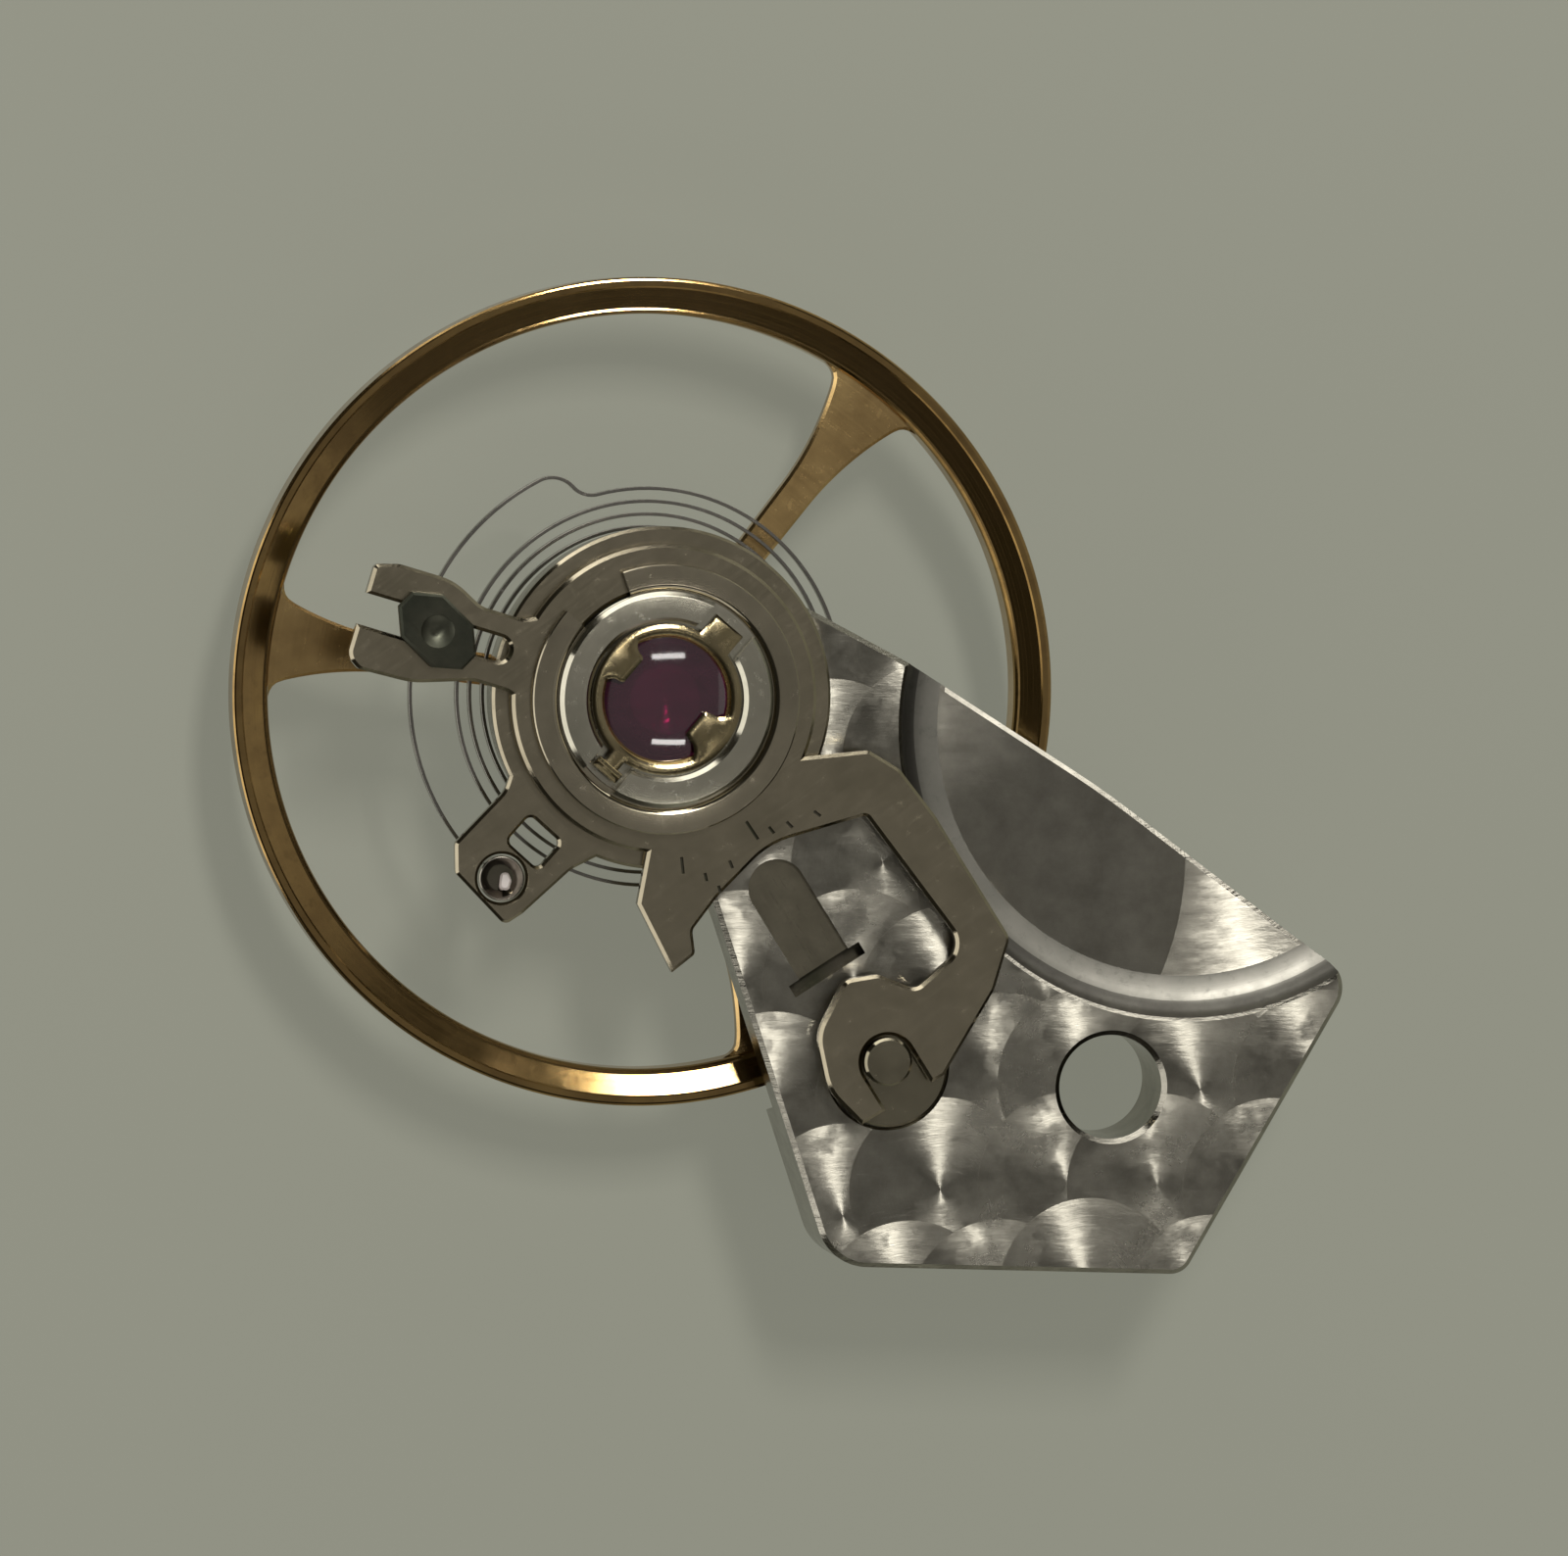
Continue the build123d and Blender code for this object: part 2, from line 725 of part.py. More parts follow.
def balance_cock():
    """Bridge with its boss, foot, circular recess and holes."""
    face = outlined(cock_outline_shares, cock_length) + Circle(boss_radius)
    body = plate(face, foot_seat, cock_top)
    body = chamfer(body.faces().sort_by(Axis.Z)[-1].outer_wire().edges(), cock_bevel)
    body -= disc(wheel_radius + foot_gap, foot_seat - overrun, cock_underside)
    floor = cock_top - recess_depth
    slope = (recess_radius - recess_floor_radius) / recess_depth
    recess = turned(
        (0, floor),
        (recess_floor_radius, floor),
        (recess_radius + slope * overrun, cock_top + overrun),
        (0, cock_top + overrun),
    )
    body -= polar(recess_reach, recess_angle) * recess
    body -= polar(screw_hole_reach, screw_hole_angle) * screw_hole()
    body -= Rot(0, 0, eccentric_angle) * regulator_groove()
    body -= disc(block_stem_radius, cock_underside - overrun, cock_top + overrun)
    body -= polar(eccentric_reach, eccentric_angle) * eccentric_seat()
    for reach, angle in zip(steady_pin_reaches, steady_pin_angles):
        body -= polar(reach, angle) * steady_hole()
    return body


def steady_hole():
    """Blind hole for one steady pin, with a relief round the pin's shoulder."""
    wide = steady_pin_radius + steady_relief_width
    hole = disc(steady_pin_shank_radius, foot_seat - overrun, foot_seat + steady_pin_depth)
    return hole + disc(wide, foot_seat - overrun, foot_seat + steady_relief_depth)


def regulator_groove():
    """Shallow round-ended groove along +X under the regulator, and the slot across its end."""
    start = boss_radius + groove_gap
    end = eccentric_reach - eccentric_head_radius - groove_end_gap
    straight = end - start - groove_width / 2
    floor = cock_top - groove_depth
    groove = Pos(end - straight / 2, 0, 0) * block(straight, groove_width, floor, cock_top + overrun)
    groove += Pos(end - straight, 0, 0) * disc(groove_width / 2, floor, cock_top + overrun)
    slot_floor = cock_top - cross_slot_depth
    slot = block(cross_slot_width, cross_slot_length, slot_floor, cock_top + overrun)
    return groove + Pos(end - cross_slot_width / 2, 0, 0) * slot


def screw_hole():
    """Cut for the cock screw, with both mouths bevelled."""
    wide = screw_hole_radius + screw_hole_bevel + overrun
    return turned(
        (0, foot_seat - overrun),
        (wide, foot_seat - overrun),
        (screw_hole_radius, foot_seat + screw_hole_bevel),
        (screw_hole_radius, cock_top - screw_hole_bevel),
        (wide, cock_top + overrun),
        (0, cock_top + overrun),
    )


def eccentric_seat():
    """Counterbore and blind hole under the eccentric screw."""
    floor = cock_top + eccentric_head_rise - eccentric_head_height
    seat = disc(eccentric_head_radius + running_clearance, floor - ring_gap, cock_top + overrun)
    depth = floor - eccentric_shank_length - running_clearance
    return seat + disc(eccentric_shank_radius + running_clearance, depth, floor)


def steady_pins():
    """Two shouldered pins under the foot that place the cock on its plate."""
    pins = []
    for reach, angle in zip(steady_pin_reaches, steady_pin_angles):
        shoulder = foot_seat + steady_relief_depth
        pin = disc(steady_pin_radius, foot_seat - steady_pin_length, shoulder)
        pin += disc(steady_pin_shank_radius, shoulder, foot_seat + steady_pin_depth)
        pins.append(polar(reach, angle) * pin)
    return pins[0] + pins[1]


def eccentric_screw():
    """Round head with an off-centre pin that moves the regulator's tail."""
    head_top = cock_top + eccentric_head_rise
    floor = head_top - eccentric_head_height
    pin_top = regulator_top + eccentric_pin_rise
    screw = disc(eccentric_head_radius, floor, head_top)
    screw += disc(eccentric_shank_radius, floor - eccentric_shank_length, floor)
    pin = turned(
        (0, floor),
        (eccentric_pin_radius, floor),
        (eccentric_pin_radius, pin_top - eccentric_pin_bevel),
        (eccentric_pin_radius - eccentric_pin_bevel, pin_top),
        (0, pin_top),
    )
    screw += Rot(0, 0, eccentric_angle) * Pos(-eccentric_offset, 0, 0) * pin
    return polar(eccentric_reach, eccentric_angle) * screw


sub_parts = {
    "balance_cock": balance_cock,
    "steady_pins": steady_pins,
    "shock_block": shock_block,
    "jewel_setting": jewel_setting,
    "hole_jewel": hole_jewel,
    "cap_jewel": cap_jewel,
    "lyre_spring": lyre_spring,
    "retaining_ring": retaining_ring,
    "regulator_index": regulator_index,
    "curb_pin_block": curb_pin_block,
    "curb_pins": curb_pins,
    "stud_carrier": stud_carrier,
    "hairspring_stud": hairspring_stud,
    "eccentric_screw": eccentric_screw,
    "balance_wheel": balance_wheel,
    "balance_staff": balance_staff,
    "double_roller": double_roller,
    "impulse_jewel": impulse_jewel,
    "collet": collet,
    "hairspring": hairspring,
}

os.makedirs("parts", exist_ok=True)
for name, make in sub_parts.items():
    export_step(make(), f"parts/{name}.step")
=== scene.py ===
import math

import bmesh
import bpy
import numpy as np
from mathutils import Matrix, Vector
from mathutils.geometry import delaunay_2d_cdt


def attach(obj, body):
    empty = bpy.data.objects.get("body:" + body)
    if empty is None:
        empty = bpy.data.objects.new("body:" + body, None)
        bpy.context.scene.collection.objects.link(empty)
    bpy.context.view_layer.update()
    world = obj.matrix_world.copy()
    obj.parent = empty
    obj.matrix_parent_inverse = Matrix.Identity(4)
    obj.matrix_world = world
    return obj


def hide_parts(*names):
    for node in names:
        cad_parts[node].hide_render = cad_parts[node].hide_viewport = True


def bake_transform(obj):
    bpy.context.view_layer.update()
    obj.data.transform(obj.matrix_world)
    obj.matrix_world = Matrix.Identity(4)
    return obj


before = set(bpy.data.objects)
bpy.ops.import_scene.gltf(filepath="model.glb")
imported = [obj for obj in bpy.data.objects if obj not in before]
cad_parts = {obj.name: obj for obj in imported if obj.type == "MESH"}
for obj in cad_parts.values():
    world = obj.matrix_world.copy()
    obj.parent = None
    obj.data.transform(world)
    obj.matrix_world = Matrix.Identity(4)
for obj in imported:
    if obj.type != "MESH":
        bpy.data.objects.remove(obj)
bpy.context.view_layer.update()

# Everything below is drawn in millimetres in the frame's own place: X to the right, Y to the top of
# the photograph, Z up the balance staff from the tip of its lower pivot. Each finished piece is
# scaled to metres once. Angles are in degrees from X, and colours are linear.


# Balance staff
# The axle of the wheel: hardened carbon steel, turned in one piece and burnished, with a pivot of a
# tenth of a millimetre at each end. The roller, the wheel and the collet are pressed on its seats.

per_metre = 1000.0      # millimetres


def eased(profile):
    """Corners of an outline of (x, y) or (x, y, ease), where an ease cuts its corner off."""
    corners = []
    for index, (x, y, *ease) in enumerate(profile):
        if not any(ease):
            corners.append((x, y))
            continue
        for other in (profile[index - 1], profile[(index + 1) % len(profile)]):
            share = ease[0] / math.dist((x, y), other[:2])
            corners.append((x + (other[0] - x) * share, y + (other[1] - y) * share))
    return corners


def lathe(profile, centre=(0, 0), steps=180, start=0.0, sweep=360.0):
    """Closed mesh of a profile of radii and heights, turned round an upright line."""
    corners = eased(profile)
    made = bmesh.new()
    closed = sweep >= 360
    stops = steps if closed else steps + 1
    rings = []
    for stop in range(stops):
        turn = math.radians(start + sweep * stop / steps)
        across, along = math.cos(turn), math.sin(turn)
        rings.append([
            made.verts.new((centre[0] + radius * across, centre[1] + radius * along, height))
            for radius, height in corners
        ])
    for stop in range(steps):
        here, there = rings[stop], rings[(stop + 1) % stops]
        for low in range(len(corners)):
            high = (low + 1) % len(corners)
            if corners[low][0] or corners[high][0]:
                made.faces.new((here[low], here[high], there[high], there[low]))
    if not closed:
        made.faces.new(rings[0])
        made.faces.new(rings[-1])
    bmesh.ops.remove_doubles(made, verts=made.verts, dist=1e-5)
    bmesh.ops.recalc_face_normals(made, faces=made.faces)
    return made


def new_object(name, data):
    made = bpy.data.objects.new(name, data)
    bpy.context.scene.collection.objects.link(made)
    return made


def shape(*meshes):
    """One object, still in millimetres, from several closed meshes."""
    joined = bmesh.new()
    for mesh in meshes:
        copy = bpy.data.meshes.new("copy")
        mesh.to_mesh(copy)
        mesh.free()
        joined.from_mesh(copy)
        bpy.data.meshes.remove(copy)
    data = bpy.data.meshes.new("shape")
    joined.to_mesh(data)
    joined.free()
    return new_object("shape", data)


def hand_in(made, name, node, body, slot, *materials, soft_angle=30):
    """Scales a drawn piece to metres, shades it and puts it in the place of its CAD node."""
    made.name = name
    made.data.name = name
    made.data.transform(Matrix.Scale(1 / per_metre, 4))
    made.data.shade_smooth()
    made.data.set_sharp_from_angle(angle=math.radians(soft_angle))
    for material in materials:
        made.data.materials.append(material)
    if body:
        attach(made, body)
    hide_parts(node)
    return made


def feed(tree, node, sockets):
    """Sets the sockets of a shader node, or links them to what other nodes give."""
    for key, value in sockets.items():
        socket = node.inputs[key]
        if isinstance(value, bpy.types.NodeSocket):
            tree.links.new(value, socket)
        else:
            socket.default_value = (*value, 1) if socket.type == "RGBA" else value


def add(tree, kind, sockets, **settings):
    """New shader node with its sockets fed and its settings made."""
    made = tree.nodes.new("ShaderNode" + kind)
    for key, value in settings.items():
        setattr(made, key, value)
    feed(tree, made, sockets)
    return made


def calc(tree, operation, *values):
    return add(tree, "Math", dict(enumerate(values)), operation=operation).outputs[0]


def vector(tree, operation, *values):
    made = add(tree, "VectorMath", dict(enumerate(values)), operation=operation)
    return made.outputs[1 if operation in ("DISTANCE", "LENGTH") else 0]


def spread(tree, value, low, high, lowest=0.0, highest=1.0):
    """Maps a value from lowest and highest to low and high, and stops at the ends."""
    sockets = {0: value, 1: lowest, 2: highest, 3: low, 4: high}
    return add(tree, "MapRange", sockets, clamp=True).outputs[0]


def blend_colour(tree, share, first, second):
    sockets = {0: share, 6: first, 7: second}
    return add(tree, "Mix", sockets, data_type="RGBA").outputs[2]


def noise(tree, place, scale, detail, rough):
    sockets = {"Vector": place, "Scale": scale, "Detail": detail, "Roughness": rough}
    return add(tree, "TexNoise", sockets).outputs[0]


def start_material(name, metallic=1.0):
    """New material: its tree, its surface shader and its place in millimetres."""
    made = bpy.data.materials.new(name)
    made.use_nodes = True
    tree = made.node_tree
    surface = tree.nodes["Principled BSDF"]
    surface.inputs["Metallic"].default_value = metallic
    place = add(tree, "TexCoord", {}).outputs["Object"]
    place = vector(tree, "MULTIPLY", place, (per_metre, per_metre, per_metre))
    return made, tree, surface, place


def flat_share(tree):
    """One on level faces, falling to nothing on their bevels and on the sides."""
    normal = add(tree, "SeparateXYZ", {0: add(tree, "TexCoord", {}).outputs["Normal"]})
    return spread(tree, calc(tree, "ABSOLUTE", normal.outputs[2]), 0.0, 1.0, 0.955, 0.985)


def in_world(tree, lay):
    """Direction of a surface's lay, turned from the piece into the world."""
    return add(tree, "VectorTransform", {0: lay}, vector_type="VECTOR", convert_from="OBJECT",
               convert_to="WORLD").outputs[0]


def metal(name, colour, shade, satin, polish, grain="turned", centre=(0.0, 0.0), angle=0.0,
          relief=0.6, spotted=0.35, along=0.75, metallic=1.0):
    """Worked metal: satin flats with their tool marks, polished edges and uneven tone.

    Satin and polish are the roughness of flats and edges, and relief is the depth of the marks.
    Spotted is how dark its stains are, and along how far highlights stretch across the marks.
    """
    made, tree, surface, place = start_material(name, metallic)
    flat = flat_share(tree)
    place = vector(tree, "SUBTRACT", place, (centre[0], centre[1], 0.0))
    if grain == "turned":
        height = add(tree, "SeparateXYZ", {0: place}).outputs[2]
        lay = vector(tree, "MULTIPLY", place, (1.0, 1.0, 0.0))
        reach = vector(tree, "LENGTH", lay)
        marks = add(tree, "CombineXYZ", {0: reach, 1: 0.0, 2: height}).outputs[0]
        marks_per_millimetre = (38.0, 1.0, 14.0)
    else:
        angle = math.radians(angle)
        marks = add(tree, "VectorRotate", {0: place, "Angle": -angle}, rotation_type="Z_AXIS")
        marks = marks.outputs[0]
        marks_per_millimetre = (1.6, 42.0, 30.0)
        lay = (-math.sin(angle), math.cos(angle), 0.0)
    marks = vector(tree, "MULTIPLY", marks, marks_per_millimetre)
    lines = noise(tree, marks, 1.0, 4.0, 0.7)
    cloud = noise(tree, place, 1.7, 4.0, 0.6)
    stains = spread(tree, noise(tree, place, 6.5, 5.0, 0.7), 0.0, 1.0, 0.55, 0.72)
    tone = blend_colour(tree, spread(tree, cloud, 0.0, 1.0, 0.32, 0.68), colour, shade)
    dull = tuple(channel * 0.45 for channel in shade)
    tone = blend_colour(tree, calc(tree, "MULTIPLY", stains, spotted), tone, dull)
    worked = calc(tree, "MULTIPLY_ADD", lines, 0.16, satin - 0.08)
    worked = calc(tree, "MULTIPLY_ADD", stains, 0.12, worked)
    smooth = spread(tree, cloud, polish, polish + 0.12, 0.35, 0.75)
    rough = add(tree, "Mix", {0: flat, 2: smooth, 3: worked}).outputs[0]
    fine = noise(tree, place, 90.0, 2.0, 0.5)
    height = calc(tree, "MULTIPLY_ADD", fine, 0.12, lines)
    bump = add(tree, "Bump", {"Strength": relief, "Distance": 2e-6, "Height": height})
    feed(tree, surface, {
        "Base Color": tone,
        "Roughness": rough,
        "Anisotropic": calc(tree, "MULTIPLY", flat, along),
        "Tangent": in_world(tree, lay),
        "Normal": bump.outputs[0],
    })
    return made


pivot, roller_seat, wheel_seat, collet_seat = 0.05, 0.22, 0.32, 0.26      # radii
flange_bottom, flange_top, hub_top = 0.83, 1.13, 1.33
collet_bottom, collet_top = 1.38, 1.8
staff = shape(lathe([
    (0, 0.004), (0.044, 0.004), (pivot, 0.02), (pivot, 0.2, 0.008),
    (roller_seat, 0.32, 0.01), (roller_seat, flange_bottom), (0.5, flange_bottom, 0.02),
    (0.5, flange_top, 0.02), (wheel_seat, flange_top), (wheel_seat, hub_top, 0.01),
    (collet_seat, collet_bottom, 0.01), (collet_seat, collet_top, 0.02), (0.16, collet_top),
    (0.16, 2.54, 0.01), (pivot, 2.66, 0.008), (pivot, 2.845), (0.042, 2.86), (0, 2.86),
], steps=120))
turned_steel = metal(
    "turned_steel", (0.56, 0.55, 0.53), (0.42, 0.41, 0.39), satin=0.26, polish=0.14,
)
hand_in(staff, "staff_with_two_pivots", "balance_staff", "balance", "turned_steel", turned_steel)


# Double roller
# Two steel discs in one piece: the wide impulse table, and under it the safety roller with its
# crescent. Turned and ground, the crescent milled, then pressed on the staff under the flange.

def circle(reach, centre=(0, 0), steps=180):
    return [
        (centre[0] + reach * math.cos(2 * math.pi * step / steps),
         centre[1] + reach * math.sin(2 * math.pi * step / steps))
        for step in range(steps)
    ]


def bar(low_x, high_x, low_y, high_y):
    return [(low_x, low_y), (high_x, low_y), (high_x, high_y), (low_x, high_y)]


def turned(points, angle, shift=(0, 0)):
    """Points turned by an angle in degrees, then moved."""
    across, along = math.cos(math.radians(angle)), math.sin(math.radians(angle))
    return [
        (x * across - y * along + shift[0], x * along + y * across + shift[1]) for x, y in points
    ]


def polar(reach, angle):
    return (reach * math.cos(math.radians(angle)), reach * math.sin(math.radians(angle)))


def covered(points, outline):
    """Which points lie inside one closed outline."""
    x, y = points[:, 0], points[:, 1]
    inside = np.zeros(len(points), bool)
    before = outline[-1]
    for corner in outline:
        if corner[1] != before[1]:
            slope = (before[0] - corner[0]) / (before[1] - corner[1])
            crossed = (corner[1] > y) != (before[1] > y)
            inside ^= crossed & (x < corner[0] + slope * (y - corner[1]))
        before = corner
    return inside


def triangles(outlines, keep):
    """Flat triangles between outlines whose middles pass a test."""
    points, edges = [], []
    for outline in outlines:
        first = len(points)
        points += [Vector(point) for point in outline]
        count = len(outline)
        edges += [(first + step, first + (step + 1) % count) for step in range(count)]
    found = delaunay_2d_cdt(points, edges, [], 0, 1e-5)
    corners = np.array([tuple(point) for point in found[0]])
    faces = np.array(found[2])
    kept = faces[keep(corners[faces].mean(axis=1))]
    return corners, kept


def edge_loops(faces):
    """Closed loops of corners round a set of triangles, the metal on their left."""
    sides = {(int(a), int(b)) for face in faces for a, b in zip(face, np.roll(face, -1))}
    after = {a: b for a, b in sides if (b, a) not in sides}
    loops = []
    while after:
        start, corner = after.popitem()
        loop = [start]
        while corner != start:
            loop.append(corner)
            corner = after.pop(corner)
        loops.append(loop)
    return loops


def drawn_in(loop, width):
    """The same loop moved into the metal by a width, corner for corner."""
    points = np.array(loop)
    ahead = np.roll(points, -1, axis=0) - points
    ahead /= np.linalg.norm(ahead, axis=1)[:, None]
    side = np.stack((-ahead[:, 1], ahead[:, 0]), axis=1)
    earlier = np.roll(side, 1, axis=0)
    share = 1 + np.sum(side * earlier, axis=1)
    least_share = 0.35      # keeps the move short at sharp corners
    return points + width * (side + earlier) / np.maximum(share, least_share)[:, None]


def outline_loops(plus, minus):
    """Clean loops round the area of some outlines less some others."""
    def keep(middles):
        inside = np.zeros(len(middles), bool)
        for outline in plus:
            inside |= covered(middles, outline)
        for outline in minus:
            inside &= ~covered(middles, outline)
        return inside

    shortest = 0.004        # shorter sides would spoil a bevel
    corners, faces = triangles(plus + minus, keep)
    loops = []
    for loop in edge_loops(faces):
        points = [tuple(corners[corner]) for corner in loop]
        clean = [points[0]]
        for point in points[1:]:
            if math.dist(point, clean[-1]) > shortest:
                clean.append(point)
        if math.dist(clean[0], clean[-1]) < shortest:
            clean.pop()
        loops.append(clean)
    return loops


def plate(plus, minus, bottom, top, upper=0.0, lower=0.0, fall=None):
    """Flat piece between two heights, with a bevel round its upper and its lower edges."""
    fall = upper if fall is None else fall
    loops = outline_loops(plus, minus)
    made = bmesh.new()
    rows = []
    for height, level, width in (
        (bottom, bottom, lower), (bottom + lower, None, 0.0),
        (top - fall, None, 0.0), (top, top, upper),
    ):
        moved = [drawn_in(loop, width) if width else np.array(loop) for loop in loops]
        rows.append([[made.verts.new((x, y, height)) for x, y in loop] for loop in moved])
        if level is not None:
            outlines = [[tuple(point) for point in loop] for loop in moved]

            def keep(middles):
                inside = np.zeros(len(middles), bool)
                for outline in outlines:
                    inside ^= covered(middles, outline)
                return inside

            corners, faces = triangles(outlines, keep)
            spots = [made.verts.new((x, y, height)) for x, y in corners]
            for face in faces:
                made.faces.new([spots[corner] for corner in face])
    for under, over in zip(rows, rows[1:]):
        for low, high in zip(under, over):
            for step in range(len(low)):
                last = step - 1
                made.faces.new((low[last], low[step], high[step], high[last]))
    bmesh.ops.remove_doubles(made, verts=made.verts, dist=2e-5)
    loose = [vert for vert in made.verts if not vert.link_faces]
    bmesh.ops.delete(made, geom=loose, context="VERTS")
    bmesh.ops.recalc_face_normals(made, faces=made.faces)
    return made


jewel_angle, jewel_reach, jewel_radius, jewel_flat = 143, 0.82, 0.15, 0.0825
table_bottom = 0.61
crescent = circle(0.24, polar(0.68, jewel_angle))
half_round = [point for point in circle(jewel_radius, steps=72) if point[0] < jewel_flat]
half_round.sort(key=lambda point: math.atan2(point[1], point[0]) % (2 * math.pi))
jewel_seat = turned(half_round, jewel_angle, polar(jewel_reach, jewel_angle))
staff_bore = circle(roller_seat)
rollers = shape(
    plate([circle(0.56)], [staff_bore, crescent], 0.35, table_bottom, lower=0.03),
    plate([circle(1.05, steps=240)], [staff_bore, jewel_seat], table_bottom, flange_bottom,
          upper=0.03, lower=0.03),
)
hand_in(rollers, "impulse_and_safety_roller", "double_roller", "balance", "turned_steel",
        turned_steel)


# Impulse jewel
# A ruby pin of D-shaped section under the table, flat side outwards: grown corundum, ground and
# polished, held in its seat with a bead of shellac.

def ruby(name, colour, deep, clear):
    """Grown ruby: clear and red, with faint growth lines and a few specks."""
    made, tree, surface, place = start_material(name, metallic=0.0)
    bands = vector(tree, "MULTIPLY", place, (0.6, 2.4, 9.0))
    cloud = spread(tree, noise(tree, bands, 2.2, 4.0, 0.6), 0.0, 1.0, 0.3, 0.7)
    specks = spread(tree, noise(tree, place, 16.0, 3.0, 0.7), 0.0, 0.5, 0.66, 0.78)
    tone = blend_colour(tree, cloud, colour, deep)
    tone = blend_colour(tree, specks, tone, (0.10, 0.02, 0.03))
    wavy = add(tree, "Bump", {"Strength": 0.15, "Distance": 2e-6,
                              "Height": noise(tree, place, 3.0, 2.0, 0.5)})
    feed(tree, surface, {
        "Base Color": tone,
        "Roughness": spread(tree, cloud, 0.02, 0.07),
        "Normal": wavy.outputs[0],
        "IOR": 1.76,
        "Transmission Weight": clear,
        "Coat Weight": 0.4,
        "Coat IOR": 1.9,
        "Coat Roughness": 0.03,
    })
    return made


pin_ruby = ruby("pin_ruby", (0.62, 0.03, 0.13), (0.40, 0.01, 0.07), clear=0.45)
impulse = shape(plate([jewel_seat], [], 0.31, 0.832, upper=0.008, lower=0.02))
hand_in(impulse, "ruby_impulse_pin", "impulse_jewel", "balance", "ruby", pin_ruby)


# Balance wheel
# One piece of gold-coloured alloy: a smooth rim, its slightly dished top turned bright between two
# polished edges, and three satin arms that flare into it below that top. The arms are milled, and
# the hub is riveted on the staff.

def arc_onward(before, first, last, steps=40):
    """Points of the arc that leaves a straight line smoothly and ends at a given point."""
    first, chord = Vector(first), Vector(last) - Vector(first)
    line = (first - Vector(before)).normalized()
    side = Vector((-line.y, line.x))
    middle = first + side * chord.length_squared / (2 * chord.dot(side))
    sweep = 2 * math.atan2(chord.dot(side), chord.dot(line))
    points = []
    for step in range(steps + 1):
        spoke = first - middle
        spoke.rotate(Matrix.Rotation(sweep * step / steps, 2))
        points.append(tuple(middle + spoke))
    return points


def refinish(made, finish, chosen, least_up=-math.inf):
    """Gives another material to the faces whose middle a test chooses by its x, y and z."""
    for face in made.data.polygons:
        if face.normal.z > least_up and chosen(*face.center * per_metre):
            face.material_index = finish


outside, inside = 5.0, 4.56
arm_angle = 51.5
arm = [(0.5, 0.17)] + arc_onward((0.5, 0.17), (3.0, 0.205), (4.68, 0.62))
arm = [point for point in arm if point[0] < 4.33]
arm += [(4.36, 0.478), (4.42, 0.511), (4.462, 0.556), (4.49, 0.62), (4.503, 0.71), (4.62, 0.73)]
arm += [(x, -y) for x, y in reversed(arm)]
arms = [turned(arm, arm_angle + 120 * index) for index in range(3)]
rim_section = [
    (inside, 1.0, 0.02), (4.92, 1.0), (outside, 1.08), (outside, 1.475), (4.98, 1.495), (4.96, 1.5),
    (4.895, 1.499), (4.875, 1.482), (4.63, 1.415), (4.605, 1.42), (4.575, 1.395), (inside, 1.36),
]
rivet = [(0.3, 1.31), (0.43, 1.31), (0.41, 1.35), (0.33, 1.36), (0.3, 1.345)]
wheel = shape(
    lathe(rim_section, steps=360),
    plate(arms + [circle(0.62)], [circle(wheel_seat)], flange_top, hub_top, 0.035, 0.02),
    lathe(rivet),
)
gold_alloy = metal(
    "gold_alloy", (0.62, 0.43, 0.19), (0.42, 0.28, 0.12), satin=0.22, polish=0.12,
    relief=0.5, spotted=0.4, along=0.35,
)
# The rim's copy of the alloy is smoother, and its colour is also painted darker than the arms' as
# shade.
rim_gold_painted_shade = metal(
    "turned_rim_painted_shade", (0.43, 0.285, 0.112), (0.295, 0.19, 0.078), satin=0.08, polish=0.10,
    relief=0.4, spotted=0.4, along=0.1,
)
hand_in(wheel, "rim_and_three_arms", "balance_wheel", "balance", "gold_alloy", gold_alloy, rim_gold_painted_shade,
        soft_angle=9)
# The rim's faces take that darker copy, painted shade.
refinish(wheel, 1, lambda x, y, z: math.hypot(x, y) > inside)


# Collet
# Split brass collar pressed on the staff over the wheel. It grips by its own spring, and the inner
# end of the hairspring is fixed to its side. Its slit looks towards the stud.

stud_angle = 227.7
collet_reach = 0.54
pin_brass = metal(
    "pin_brass", (0.78, 0.62, 0.33), (0.60, 0.45, 0.22), satin=0.28, polish=0.16,
)
slit = turned(bar(0.1, 0.8, -0.04, 0.04), stud_angle)
collar = shape(plate([circle(collet_reach)], [circle(collet_seat), slit],
                     collet_bottom, collet_top, upper=0.035, lower=0.035))
hand_in(collar, "split_collar", "collet", "balance", "pin_brass", pin_brass)


# Hairspring
# A flat strip of spring alloy, rolled four hundredths of a millimetre thin and wound in twelve
# turns. It steps outwards at a knee, runs between the curb pins and ends in the stud.

outer_reach = 2.88      # from the staff to the outer arc, the curb pins and the stud
coil_reach = 0.61
coil_turns = 12
half_strip = 0.02       # half the thickness of the strip
collet_grip = collet_reach + half_strip
knee_angle = 104.0
knee_step = 0.41        # from the last coil out to the outer arc
knee_bends = 0.3, 0.35


